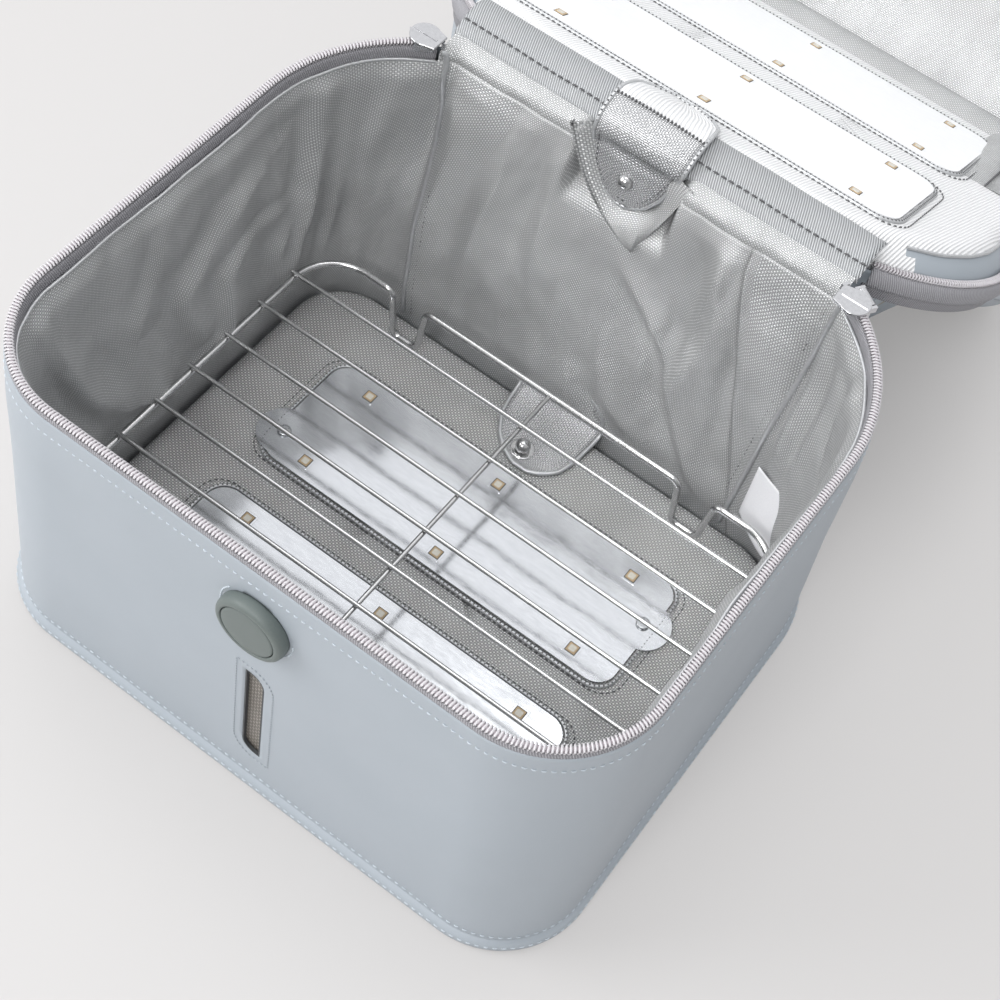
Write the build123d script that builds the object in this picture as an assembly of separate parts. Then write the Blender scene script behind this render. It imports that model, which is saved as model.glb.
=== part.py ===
from build123d import *
from collections import namedtuple
from math import cos, radians, sin, tan
import os

os.makedirs("parts", exist_ok=True)

# A plan outline: half the width, front and back edge, corner radii at the front and at the back
Plan = namedtuple("Plan", "half front back r_front r_back")

# Bag body
RIM_W = 260.0
RIM_D = 238.0
RIM_H = 153.0
RIM_R_FRONT = 44.0
RIM_R_BACK = 76.0
SEAM_W = 265.5
SEAM_D = 243.5
SEAM_H = 6.3
SEAM_R_FRONT = 37.0
SEAM_R_BACK = 60.0
FOOT_OUT = 2.25
FOOT_H = 3.0
FOOT_TUCK = 1.2
LEATHER = 1.4
LAYER_GAP = 0.1
WALL_BOARD = 2.5
WALL_BOARD_DROP = 13.5
WALL_BOARD_TOP = RIM_H - WALL_BOARD_DROP
BASE_SKIN = 1.6
BASE_BOARD = 3.2

# Lining and floor
LINING = 0.6
HEM_DROP = 4.0
LINING_HEM_H = RIM_H - HEM_DROP
HEM_GAP = 0.3
FLOOR_SIDE_IN = 8.25
FLOOR_FRONT_IN = 7.25
FLOOR_BACK_IN = 33.25
FLOOR_HALF = SEAM_W / 2 - FLOOR_SIDE_IN
FLOOR_FRONT = FLOOR_FRONT_IN - SEAM_D / 2
FLOOR_BACK = SEAM_D / 2 - FLOOR_BACK_IN
FLOOR_R_FRONT = 32.0
FLOOR_R_BACK = 28.0
PAD_GAP = 2.4
PAD_THICK = 8.2
PAD_ROUND = 2.0
PIPING_R = 1.5
PIPING_BOTTOM = (85.0, 20.0)
PIPING_DROP = 6.0
PIPING_TOP = (90.0, RIM_H - PIPING_DROP)

# Zip
TAPE = 0.8
TAPE_IN = 1.6
TAPE_LAP = 12.0
COIL_W = 3.0
COIL_H = 3.2
COIL_IN = 0.6
COIL_LIFT = 1.2
ZIP_GAP = 10.2
COIL_APART = 1.9
STOP_ARC = 1.0

# Lid
LID_H = 60.2
LID_ANGLE = 205.0
LID_LEAN = 28.0
LID_SHOULDER = 5.8
LID_SIDE_IN = 2.5
LID_FRONT_IN = 2.0
LID_R_FRONT = 42.0
LID_R_BACK = 64.0
HINGE_OUT = 1.5
HINGE_BEAD_R = 1.2
HINGE_STRIP = 1.2
HINGE_CLEAR = 1.9
HINGE_REACH = 20.0
PILLOW_DROP = 7.0
PILLOW_IN = 15.0
PILLOW_ROUND = 3.0

# Light panels
FILM = 0.6
LIGHT_BOARD = 0.5
LED_SIDE = 5.4
LED_H = 1.4
LED_GAP = 0.5
WINDOW_R = 1.7
WINDOW_H = 0.4
PANEL_R = 9.0
TAB_R = 12.0
FLOOR_LED_X = (-66.0, 2.5, 71.0)
FLOOR_LED_ROWS_REAR = (41.0, -2.5)
FLOOR_LED_ROWS_FRONT = (-39.5, -82.0)
LID_LED_X = (-73.0, -4.0, 66.0)
LID_LED_ROWS_REAR = (38.0, 84.0)
LID_LED_ROWS_FRONT = (121.5, 170.0)
PANEL_SIDE = 20.0
PANEL_EDGE = 7.5

# Wire rack
RACK_X = 1.0
RACK_HALF = 119.0
RACK_BACK = 74.3
RACK_FRONT = -100.0
RACK_R = 22.0
RACK_H = 27.0
RACK_WIRE = 1.5
RACK_BAR = 1.0
RACK_BARS = 7
RACK_BAR_FIRST = 52.5
RACK_PITCH = 21.8
FOOT_AT = 74.0
FOOT_WIDE = 18.0
FOOT_NARROW = 13.0
FOOT_BEND = 4.0
REST_GAP = 0.3

# Front: button and slot window
BUTTON_X = 3.5
BUTTON_DROP = 29.0
BUTTON_Z = RIM_H - BUTTON_DROP
BUTTON_R = 15.0
BUTTON_PROUD = 9.0
BUTTON_CHAMFER = 1.2
CAP_R = 11.0
CAP_FIT = 0.1
CAP_THICK = 4.2
CAP_SUNK = 0.2
BUTTON_TRAVEL = 1.2
BARREL_R = 13.0
BARREL_DEPTH = 3.9
BARREL_WALL = 1.2
HOLE_FIT = 0.1
STEM_R = 3.0
SPRING_R = 5.2
SPRING_WIRE = 0.4
SPRING_TURNS = 4
SLOT_X = 4.25
SLOT_Z = 57.0
SLOT_W = 8.5
SLOT_TALL = 60.0
SLOT_ROUND = 7.0
SLOT_LIP = 0.7
MESH = 0.4
MESH_LAP = 3.0

# Zip sliders
SLIDER_ANGLE = {"left": 38.0, "right": 33.0}
SLIDER_LONG = 13.5
SLIDER_TAIL = 8.8
SLIDER_WIDE = 12.6
SLIDER_IN = 16.3
SLIDER_Y = RIM_D / 2 - SLIDER_IN
SLIDER_PLATE = 1.0
SLIDER_RIB = 0.3
SLIDER_FIT = 0.3
SLIDER_WALL = 1.0
SLIDER_ARC = 6.4
PIN_R = 0.8
PIN_FIT = 0.1
PULL_EYE_R = 1.8
PULL_LONG = 22.0
PULL_WIDE = 8.0
PULL_THICK = 1.2
PULL_OFF = 2.1
EAR = 1.2

# Small parts
FLAP = 1.0
FLAP_X = -5.5
FLAP_WIDE = 41.0
FLAP_DROP = 6.5
FLAP_TALL = 17.5
FLAP_HIGH = RIM_H - FLAP_DROP
FLAP_LOW = FLAP_HIGH - FLAP_TALL
FLAP_OVER_LID = 25.0
FLAP_HANG = 0.8
CABLE_FLAP_X = 1.0
CABLE_FLAP_WIDE = 42.0
CABLE_FLAP_FRONT = 54.0
CABLE_FLAP_TOP = 34.0
STUD_BASE_R = 5.5
STUD_BASE_H = 1.0
STUD_BALL_R = 3.4
RIVET_R = 3.0
RIVET_H = 1.2
TAG_WIDE = 29.0
TAG_TALL = 38.0
TAG_LIFT = 5.0
TAG_THICK = 0.8
TAG_OFF = 1.25

# Battery and control board behind the sloping rear lining
CELL_R = 9.2
CELL_LONG = 65.0
CELL_X = -36.0
CELL_Y = 107.0
CELL_FIT = 0.3
HOLDER_WALL = 1.5
BOARD_LONG = 70.0
BOARD_TALL = 38.0
BOARD_THICK = 1.6
BOARD_X = 35.0
BOARD_Z = 34.0
STANDOFF = 3.0
CHOKE_AT = 14.0
CHOKE = 10.0
CABLE_WIDE = 10.0
CABLE_THICK = 0.6

# Values that follow from the sizes above
AXIS_Y = RIM_D / 2 + HINGE_OUT
AXIS_Z = RIM_H + ZIP_GAP / 2
LID_EDGE = RIM_H + ZIP_GAP
LID_TOP = LID_EDGE + LID_H
COIL_Z = RIM_H + COIL_LIFT
COIL_TOP = COIL_Z + COIL_H
LID_COIL_Z = COIL_TOP + COIL_APART
SLIDER_Z = COIL_TOP + SLIDER_FIT
LINING_Z = BASE_SKIN + BASE_BOARD + 3 * LAYER_GAP
PAD_Z = LINING_Z + LINING + LAYER_GAP
PAD_TOP = PAD_Z + PAD_THICK
BOARD_IN = LEATHER + LAYER_GAP
LINING_IN = BOARD_IN + WALL_BOARD + LAYER_GAP
HEM_IN = TAPE_IN + TAPE + HEM_GAP
WALL_SLOPE = (SEAM_D - RIM_D) / 2 / (RIM_H - SEAM_H)
ARC_X = RIM_W / 2 - RIM_R_BACK
ARC_Y = RIM_D / 2 - RIM_R_BACK
COIL_R = RIM_R_BACK - COIL_IN - COIL_W / 2

RIM = Plan(RIM_W / 2, -RIM_D / 2, RIM_D / 2, RIM_R_FRONT, RIM_R_BACK)
SEAM = Plan(SEAM_W / 2, -SEAM_D / 2, SEAM_D / 2, SEAM_R_FRONT, SEAM_R_BACK)
FLOOR = Plan(FLOOR_HALF, FLOOR_FRONT, FLOOR_BACK, FLOOR_R_FRONT, FLOOR_R_BACK)


def grow(plan, out):
    return Plan(plan.half + out, plan.front - out, plan.back + out, plan.r_front + out, plan.r_back + out)


def between(low, high, t):
    return Plan(*[a + (b - a) * t for a, b in zip(low, high)])


def outline(plan, z):
    """Closed wire of a plan: four straight sides and four tangent corner arcs."""
    w, f, b, rf, rb = plan
    edges = [
        Line((-w + rf, f), (w - rf, f)),
        CenterArc((w - rf, f + rf), rf, 270, 90),
        Line((w, f + rf), (w, b - rb)),
        CenterArc((w - rb, b - rb), rb, 0, 90),
        Line((w - rb, b), (-w + rb, b)),
        CenterArc((-w + rb, b - rb), rb, 90, 90),
        Line((-w, b - rb), (-w, f + rf)),
        CenterArc((-w + rf, f + rf), rf, 180, 90),
    ]
    return Pos(0, 0, z) * Wire(edges)


def skin(layers):
    """Ruled solid through a stack of (height, plan)."""
    return Solid.make_loft([outline(plan, z) for z, plan in layers], ruled=True)


def ring(layers, inset, thick):
    outer = skin([(z, grow(plan, -inset)) for z, plan in layers])
    inner = skin([(z, grow(plan, -inset - thick)) for z, plan in layers])
    return outer - inner


def wall_plan(z):
    t = (z - SEAM_H) / (RIM_H - SEAM_H)
    return between(SEAM, RIM, min(max(t, 0), 1))


def wall_y(z):
    return wall_plan(z).front


def lid_shoulder_plan():
    rise = LID_H - LID_SHOULDER
    back = RIM.back - rise * tan(radians(LID_LEAN))
    return Plan(RIM.half - LID_SIDE_IN, RIM.front + LID_FRONT_IN, back, LID_R_FRONT, LID_R_BACK)


def lid_plan(z):
    t = (z - LID_EDGE) / (LID_H - LID_SHOULDER)
    return between(RIM, lid_shoulder_plan(), min(max(t, 0), 1))


def slab(x0, x1, y0, y1, z0, z1):
    return Pos((x0 + x1) / 2, (y0 + y1) / 2, (z0 + z1) / 2) * Box(x1 - x0, y1 - y0, z1 - z0)


def rod(p, q, r):
    line = Edge.make_line(p, q)
    return Solid.make_cylinder(r, line.length, Plane(origin=p, z_dir=Vector(*q) - Vector(*p)))


def open_lid(shape):
    return shape.rotate(Axis((0, AXIS_Y, AXIS_Z), (1, 0, 0)), -LID_ANGLE)


def lid_plane():
    """Inside face of the open lid: x across, y away from the hinge, z out of the lid."""
    slope = radians(LID_ANGLE - 180)
    return Plane(origin=(0, AXIS_Y, AXIS_Z), x_dir=(1, 0, 0), z_dir=(0, sin(slope), cos(slope)))


def lining_layers():
    knee = grow(wall_plan(WALL_BOARD_TOP), -LINING_IN)
    hem = grow(wall_plan(LINING_HEM_H), -HEM_IN)
    return [(LINING_Z, FLOOR), (WALL_BOARD_TOP, knee), (LINING_HEM_H, hem)]


def lining_back(z):
    """Depth of the inner face of the rear lining at a height."""
    (z0, low), (z1, high), _ = lining_layers()
    return low.back + (high.back - low.back) * (z - z0) / (z1 - z0) - LINING


def lining_y(x, z):
    """Depth of the lining's inner face at the rear, also round its corners."""
    (z0, low), (z1, high), _ = lining_layers()
    p = grow(between(low, high, (z - z0) / (z1 - z0)), -LINING)
    past = max(abs(x) - (p.half - p.r_back), 0)
    return p.back - p.r_back + (p.r_back ** 2 - past ** 2) ** 0.5


def rear_plane():
    """Inner face of the rear lining: x across, y up the slope, z into the bag."""
    low, high = PAD_TOP, WALL_BOARD_TOP
    up = Vector(0, lining_back(high) - lining_back(low), high - low)
    return Plane(origin=(0, lining_back(low), low), x_dir=(1, 0, 0), z_dir=Vector(1, 0, 0).cross(up))


def zip_end(side):
    """Angle round the rear corner at which the zip ends beside the hinge."""
    return SLIDER_ANGLE[side] - SLIDER_ARC / 2 - 1.5


def hinge_zone(z0, z1, turn):
    """Space between the two ends of the zip, each end drawn in by an angle."""
    left, right = [ARC_X + COIL_R * sin(radians(zip_end(side) - turn)) for side in ("left", "right")]
    return slab(-left, right, ARC_Y, AXIS_Y + HINGE_REACH, z0, z1)


# Body shell
def base_shell():
    foot = grow(SEAM, FOOT_OUT)
    body = skin([(0, grow(foot, -FOOT_TUCK)), (FOOT_H, foot), (SEAM_H, SEAM)])
    inside = grow(SEAM, -LINING_IN)
    return body - skin([(BASE_SKIN, inside), (SEAM_H + 1, inside)])


def base_board():
    edge = grow(SEAM, -LINING_IN - LAYER_GAP)
    low = BASE_SKIN + LAYER_GAP
    return skin([(low, edge), (low + BASE_BOARD, edge)])


def slot_shape(extra):
    """Leaf shape of the slot window: two opposite corners rounded."""
    w = SLOT_W + 2 * extra
    h = SLOT_TALL + 2 * extra
    face = Rectangle(w, h)
    corners = face.vertices().sort_by(lambda v: v.X * w + v.Y * h)
    opposite = [corners[0], corners[-1]]
    return fillet(opposite, min(SLOT_ROUND + extra, w * 0.8))


def front_place(x, z):
    """Point on the sloping front wall, with z square to the wall and outward."""
    return Plane(origin=(x, wall_y(z), z), x_dir=(1, 0, 0), z_dir=(0, -1, WALL_SLOPE)).location


def through_front(sketch, x, z):
    """Cutter along the wall's own direction, from inside the wall boards to just outside."""
    return front_place(x, z) * Pos(0, 0, -LINING_IN - 1) * extrude(sketch, amount=LINING_IN + 3)


def button_hole():
    return through_front(Circle(BARREL_R + HOLE_FIT), BUTTON_X, BUTTON_Z)


def outer_wall():
    wall = ring([(SEAM_H, SEAM), (RIM_H, RIM)], 0, LEATHER)
    return wall - button_hole() - through_front(slot_shape(0), SLOT_X, SLOT_Z)


def wall_board():
    layers = [(SEAM_H, SEAM), (WALL_BOARD_TOP, wall_plan(WALL_BOARD_TOP))]
    board = ring(layers, BOARD_IN, WALL_BOARD)
    return board - button_hole() - through_front(slot_shape(MESH_LAP + LAYER_GAP), SLOT_X, SLOT_Z)


def window_frame():
    edge = slot_shape(-LAYER_GAP) - slot_shape(-SLOT_LIP)
    return front_place(SLOT_X, SLOT_Z) * Pos(0, 0, -LEATHER) * extrude(edge, amount=LEATHER)


def window_mesh():
    depth = LEATHER + LAYER_GAP + MESH
    return front_place(SLOT_X, SLOT_Z) * Pos(0, 0, -depth) * extrude(slot_shape(MESH_LAP), amount=MESH)


# Lining and floor
def body_lining():
    layers = lining_layers()
    inner = [(z, grow(plan, -LINING)) for z, plan in layers]
    inner[0] = (LINING_Z + LINING, inner[0][1])
    return skin(layers) - skin(inner)


def lining_piping():
    parts = []
    mid = tuple((a + b) / 2 for a, b in zip(PIPING_BOTTOM, PIPING_TOP))
    for side in (-1, 1):
        stops = []
        for x, z in (PIPING_BOTTOM, mid, PIPING_TOP):
            stops.append((side * x, lining_y(x, z) - PIPING_R - 2 * LAYER_GAP, z))
        cord = rod(stops[0], stops[1], PIPING_R) + rod(stops[1], stops[2], PIPING_R)
        parts.append(cord + Pos(*stops[1]) * Sphere(PIPING_R))
    return Compound(children=parts)


def floor_pad():
    edge = grow(FLOOR, -LINING - PAD_GAP)
    pad = skin([(PAD_Z, edge), (PAD_TOP, edge)])
    return fillet(pad.faces().sort_by(Axis.Z)[-1].edges(), PAD_ROUND)


def care_tag():
    x = PIPING_BOTTOM[0] + PIPING_R + 1.0
    turn = Rot(0, 0, -17)
    sheet = Box(TAG_WIDE, TAG_THICK, TAG_TALL, align=(Align.MIN, Align.MAX, Align.MIN))
    y = lining_y(x, PAD_TOP) - TAG_OFF
    return Pos(x, y, PAD_TOP + TAG_LIFT) * turn * sheet


# Light panels, built on the plane z = 0 and facing up
def panel_outline(xs, rows, tabs):
    x0, x1 = min(xs) - PANEL_SIDE, max(xs) + PANEL_SIDE
    y0, y1 = min(rows) - PANEL_EDGE, max(rows) + PANEL_EDGE
    shape = Pos((x0 + x1) / 2, (y0 + y1) / 2) * RectangleRounded(x1 - x0, y1 - y0, PANEL_R)
    for x, y in tabs:
        shape += Pos(x, y) * Circle(TAB_R)
    return shape


def film(xs, rows, tabs):
    sheet = extrude(panel_outline(xs, rows, tabs), amount=FILM)
    hole = LED_SIDE + 2 * LED_GAP
    for x in xs:
        for y in rows:
            sheet -= Pos(x, y, FILM / 2) * Box(hole, hole, 3 * FILM)
    return sheet


def light_boards(xs, rows):
    strips = []
    for y in rows:
        long = max(xs) - min(xs) + 2 * LED_SIDE
        wide = LED_SIDE + 2 * LED_GAP
        strips.append(Pos((min(xs) + max(xs)) / 2, y, LIGHT_BOARD / 2) * Box(long, wide, LIGHT_BOARD))
    return strips


def leds(xs, rows):
    packs = []
    for x in xs:
        for y in rows:
            body = Pos(x, y, LED_H / 2) * Box(LED_SIDE, LED_SIDE, LED_H)
            packs.append(body - Pos(x, y, LED_H) * Cylinder(WINDOW_R + LAYER_GAP, 2 * WINDOW_H))
    return packs


def led_windows(xs, rows):
    return [Pos(x, y, LED_H - WINDOW_H / 2) * Cylinder(WINDOW_R, WINDOW_H - LAYER_GAP) for x in xs for y in rows]


def panels_on(place, sets):
    """The light boards, LEDs and windows of a group of panels as three compounds."""
    up = Pos(0, 0, LAYER_GAP)
    top = Pos(0, 0, 2 * LAYER_GAP + LIGHT_BOARD)
    boards = [place * up * b for xs, rows in sets for b in light_boards(xs, rows)]
    packs = [place * top * p for xs, rows in sets for p in leds(xs, rows)]
    glass = [place * top * w for xs, rows in sets for w in led_windows(xs, rows)]
    return Compound(children=boards), Compound(children=packs), Compound(children=glass)


def film_at(place, xs, rows, tabs):
    return place * Pos(0, 0, 2 * LAYER_GAP + LIGHT_BOARD) * film(xs, rows, tabs)


def rear_tabs():
    row = sum(FLOOR_LED_ROWS_REAR) / 2
    left = min(FLOOR_LED_X) - PANEL_SIDE + TAB_R / 2
    right = max(FLOOR_LED_X) + PANEL_SIDE - TAB_R / 2
    return [(left - 2, row - 16), (right + 2, row + 6)]


def dome(radius, height):
    button = Cylinder(radius, height, align=(Align.CENTER, Align.CENTER, Align.MIN))
    return fillet(button.edges().sort_by(Axis.Z)[-1], min(radius, height) * 0.7)


def floor_rivets():
    z = PAD_TOP + 3 * LAYER_GAP + LIGHT_BOARD + FILM
    return Compound(children=[Pos(x, y, z) * dome(RIVET_R, RIVET_H) for x, y in rear_tabs()])


# Rack
def rack_frame():
    z = PAD_TOP + REST_GAP + RACK_WIRE + RACK_H
    low = PAD_TOP + REST_GAP + RACK_WIRE
    path = [(RACK_X, RACK_BACK, z)]
    for y, sign in ((RACK_BACK, 1), (RACK_FRONT, -1)):
        foot = [(FOOT_AT - FOOT_WIDE / 2, z), (FOOT_AT - FOOT_NARROW / 2, low),
                (FOOT_AT + FOOT_NARROW / 2, low), (FOOT_AT + FOOT_WIDE / 2, z), (RACK_HALF, z)]
        path += [(RACK_X + x, y, h) for x, h in foot[::sign]]
    path.append((RACK_X, RACK_FRONT, z))
    bends = [FOOT_BEND] * 4 + [RACK_R, RACK_R] + [FOOT_BEND] * 4
    line = FilletPolyline(*path, radius=bends)
    section = Plane(origin=line @ 0, z_dir=line % 0) * Circle(RACK_WIRE)
    half = sweep(section, path=line)
    other = half.mirror(Plane(origin=(RACK_X, 0, 0), z_dir=(1, 0, 0)))
    return half + other


def rack_cross_wires():
    z = PAD_TOP + REST_GAP + 2 * RACK_WIRE + RACK_H + RACK_BAR
    ends = RACK_HALF + RACK_WIRE
    wires = []
    for i in range(RACK_BARS):
        y = RACK_BAR_FIRST - i * RACK_PITCH
        wires.append(rod((RACK_X - ends, y, z), (RACK_X + ends, y, z), RACK_BAR))
    return Compound(children=wires)


def rack_spine():
    z = PAD_TOP + REST_GAP + 2 * RACK_WIRE + RACK_H - RACK_BAR
    back, front = RACK_BACK - RACK_WIRE, RACK_FRONT + RACK_WIRE
    return rod((RACK_X, front, z), (RACK_X, back, z), RACK_BAR)


# Zip on the body and on the lid
def body_zip_tape():
    low = RIM_H - TAPE_LAP
    tape = ring([(low, RIM), (COIL_Z, RIM)], TAPE_IN, TAPE)
    return tape - hinge_zone(low - 1, COIL_TOP + 1, 0)


def body_zip_teeth():
    coil = ring([(COIL_Z, RIM), (COIL_TOP, RIM)], COIL_IN, COIL_W)
    return coil - hinge_zone(COIL_Z - 1, COIL_TOP + 1, 0)


def lid_zip_tape():
    high = LID_EDGE + TAPE_LAP
    layers = [(LID_COIL_Z + COIL_H, RIM), (LID_EDGE, RIM), (high, lid_plan(high))]
    return ring(layers, TAPE_IN, TAPE) - hinge_zone(LID_COIL_Z, high + 1, 0)


def lid_zip_teeth():
    low, high = LID_COIL_Z, LID_COIL_Z + COIL_H
    return ring([(low, RIM), (high, RIM)], COIL_IN, COIL_W) - hinge_zone(low - 1, high + 1, 0)


def hinge_strip(z0, z1):
    return ring([(z0, RIM), (z1, RIM)], 0, HINGE_STRIP) & hinge_zone(z0, z1, 2 * STOP_ARC)


def hinge_band_body():
    strip = hinge_strip(RIM_H, AXIS_Z - HINGE_CLEAR)
    reach = ARC_X - 2
    bead = rod((-reach, AXIS_Y, AXIS_Z), (reach, AXIS_Y, AXIS_Z), HINGE_BEAD_R)
    y0 = RIM_D / 2 - HINGE_STRIP
    top = AXIS_Z - HINGE_CLEAR
    section = Polyline((y0, top - 0.9), (y0 + 1.0, top - 0.9), (AXIS_Y + 0.4, AXIS_Z - 0.8),
                       (AXIS_Y - 0.7, AXIS_Z + 0.4), close=True)
    web = extrude(Plane.YZ.offset(-reach) * make_face(section), amount=2 * reach)
    return strip + web + bead


def hinge_band_lid():
    return hinge_strip(AXIS_Z + HINGE_CLEAR, LID_EDGE)


# Lid, built closed and then turned open
def lid_layers(inset, low, drop):
    shoulder = lid_shoulder_plan()
    top = grow(shoulder, -LID_SHOULDER)
    layers = [(low, lid_plan(low)), (LID_TOP - LID_SHOULDER, shoulder), (LID_TOP - drop, top)]
    return [(z, grow(plan, -inset)) for z, plan in layers]


def lid_cover():
    return skin(lid_layers(0, LID_EDGE, 0)) - skin(lid_layers(LEATHER, LID_EDGE, LEATHER))


def lid_board():
    low = LID_EDGE + TAPE_LAP + 1
    deep = BOARD_IN + WALL_BOARD
    return skin(lid_layers(BOARD_IN, low, BOARD_IN)) - skin(lid_layers(deep, low, deep))


def pillow_layers(inset):
    """Lower side of the lid's padded lining: height and plan, from its face up to the rim."""
    face = AXIS_Z - PILLOW_DROP
    knee = LID_EDGE - 1.2
    steps = [
        (face, PILLOW_IN + PILLOW_ROUND),
        (face + PILLOW_ROUND, PILLOW_IN + 1.0),
        (knee, PILLOW_IN),
        (LID_EDGE + 4.3, LINING_IN + 1.0),
    ]
    return [(z, grow(lid_plan(z), -into - inset)) for z, into in steps]


def lid_lining():
    inner = pillow_layers(LINING)
    inner[0] = (inner[0][0] + LINING, inner[0][1])
    return skin(pillow_layers(0)) - skin(inner)


def lid_foam():
    low = pillow_layers(LINING + LAYER_GAP)
    low[0] = (low[0][0] + LINING + LAYER_GAP, low[0][1])
    deep = BOARD_IN + WALL_BOARD + LAYER_GAP
    return skin(low + lid_layers(deep, LID_EDGE + TAPE_LAP + 1, deep))


def lid_piping():
    layers = lid_layers(0, LID_EDGE, 0)
    z = LID_TOP - LID_SHOULDER
    return ring([(z - 1.0, lid_plan(z - 1.0)), (z + 1.0, layers[1][1])], -1.0, 0.9)


def lid_place():
    return lid_plane().location * Pos(0, 0, PILLOW_DROP)


# Flaps, studs and cable covers
def flap_shape(wide, tall):
    """A D shape hanging from y = 0 downward."""
    r = wide / 2
    straight = max(tall - r, 0.5)
    body = Pos(0, -straight / 2) * Rectangle(wide, straight)
    bottom = Pos(0, -straight) * Circle(r)
    keep = Pos(0, -tall) * Rectangle(wide * 2, 2 * tall)
    return (body + bottom) & keep


def upper_flap_wall():
    plane = rear_plane()
    tall = FLAP_HIGH - FLAP_LOW
    shape = Pos(FLAP_X, FLAP_HIGH - PAD_TOP, FLAP_HANG) * flap_shape(FLAP_WIDE, tall)
    return extrude(plane.location * shape, amount=FLAP)


def upper_flap_lid():
    inner = PILLOW_IN + PILLOW_ROUND + HINGE_OUT + 1
    tall = FLAP_OVER_LID - inner
    shape = Pos(FLAP_X, inner, 2 * LAYER_GAP) * mirror(flap_shape(FLAP_WIDE, tall), Plane.XZ)
    return extrude(lid_place() * shape, amount=FLAP)


def lower_cable_flap():
    x = CABLE_FLAP_X
    back = lining_back(PAD_TOP) - 2 * LAYER_GAP
    shape = Pos(x, back, PAD_TOP + 2 * LAYER_GAP) * flap_shape(CABLE_FLAP_WIDE, back - CABLE_FLAP_FRONT)
    floor = extrude(shape, amount=FLAP)
    tall = CABLE_FLAP_TOP - PAD_TOP
    face = Pos(x, 0.3, 2 * LAYER_GAP) * mirror(flap_shape(CABLE_FLAP_WIDE, tall), Plane.XZ)
    return floor + extrude(rear_plane().location * face, amount=FLAP)


def stud():
    base = dome(STUD_BASE_R, STUD_BASE_H)
    ball = Pos(0, 0, STUD_BASE_H + STUD_BALL_R * 0.6) * Sphere(STUD_BALL_R)
    side = 4 * STUD_BALL_R
    return base + (ball & Pos(0, 0, (STUD_BASE_H + side) / 2) * Box(side, side, side))


def snap_studs():
    upper = rear_plane().location * Pos(FLAP_X - 1, FLAP_LOW + 12.5 - PAD_TOP, FLAP_HANG + FLAP + LAYER_GAP)
    lower = Pos(CABLE_FLAP_X - 1, CABLE_FLAP_FRONT + 8, PAD_TOP + FLAP + 3 * LAYER_GAP)
    return Compound(children=[upper * stud(), lower * stud()])


# Button, built along its own axis: z points out of the front wall
def disc(radius, low, high):
    return Pos(0, 0, (low + high) / 2) * Cylinder(radius, high - low)


def button_housing():
    puck = disc(BUTTON_R, LAYER_GAP, BUTTON_PROUD)
    puck = chamfer(puck.edges().sort_by(Axis.Z)[-1], BUTTON_CHAMFER)
    barrel = disc(BARREL_R, -BARREL_DEPTH, 1)
    bore = disc(CAP_R + CAP_FIT, BUTTON_PROUD - CAP_THICK - BUTTON_TRAVEL - 1, BUTTON_PROUD + 1)
    well = disc(BARREL_R - BARREL_WALL, -BARREL_DEPTH - 1, LAYER_GAP)
    throat = disc(SPRING_R + SPRING_WIRE + 0.4, 0, BUTTON_PROUD)
    return front_place(BUTTON_X, BUTTON_Z) * (puck + barrel - bore - well - throat)


def button_cap():
    top = BUTTON_PROUD - CAP_SUNK
    cap = disc(CAP_R, top - CAP_THICK + CAP_SUNK, top)
    cap = fillet(cap.edges().sort_by(Axis.Z)[-1], 0.5)
    return front_place(BUTTON_X, BUTTON_Z) * (cap + disc(STEM_R, 1.0, top - 1))


def switch_board():
    low = -BARREL_DEPTH + LAYER_GAP
    board = disc(BARREL_R - BARREL_WALL - LAYER_GAP, low, low + 1.0)
    switch = Pos(0, 0, low + 1.8) * Box(6, 6, 2.0)
    plunger = disc(1.6, low + 2, 1.0 - BUTTON_TRAVEL - LAYER_GAP)
    return front_place(BUTTON_X, BUTTON_Z) * (board + switch + plunger)


def button_spring():
    """Coil spring under the cap; its ends run level."""
    low = -BARREL_DEPTH + LAYER_GAP + 1.0 + SPRING_WIRE + 0.05
    high = BUTTON_PROUD - CAP_THICK - SPRING_WIRE - 0.05
    coil = Helix(pitch=(high - low) / SPRING_TURNS, height=high - low, radius=SPRING_R)
    section = Plane(origin=coil @ 0, z_dir=coil % 0) * Circle(SPRING_WIRE)
    return front_place(BUTTON_X, BUTTON_Z) * Pos(0, 0, low) * sweep(section, path=coil, is_frenet=True)


# Zip sliders and pullers
def arc_piece(r0, r1, z0, z1, spread):
    """Piece of a ring round the corner's centre, on its own +Y side."""
    tube = Cylinder(r1, z1 - z0) - Cylinder(r0, z1 - z0)
    half = r1 * tan(radians(spread / 2))
    wedge = extrude(make_face(Polyline((0, 0), (half, r1), (half, 2 * r1), (-half, 2 * r1), (-half, r1), close=True)),
                    amount=z1 - z0)
    return Pos(0, 0, (z0 + z1) / 2) * tube & Pos(0, 0, z0) * wedge


def pull_axis():
    """Radius and height of the pin that carries the puller."""
    flange = RIM_R_BACK - COIL_IN + SLIDER_FIT + SLIDER_WALL
    return flange + PULL_OFF, COIL_Z + 1.6


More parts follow.
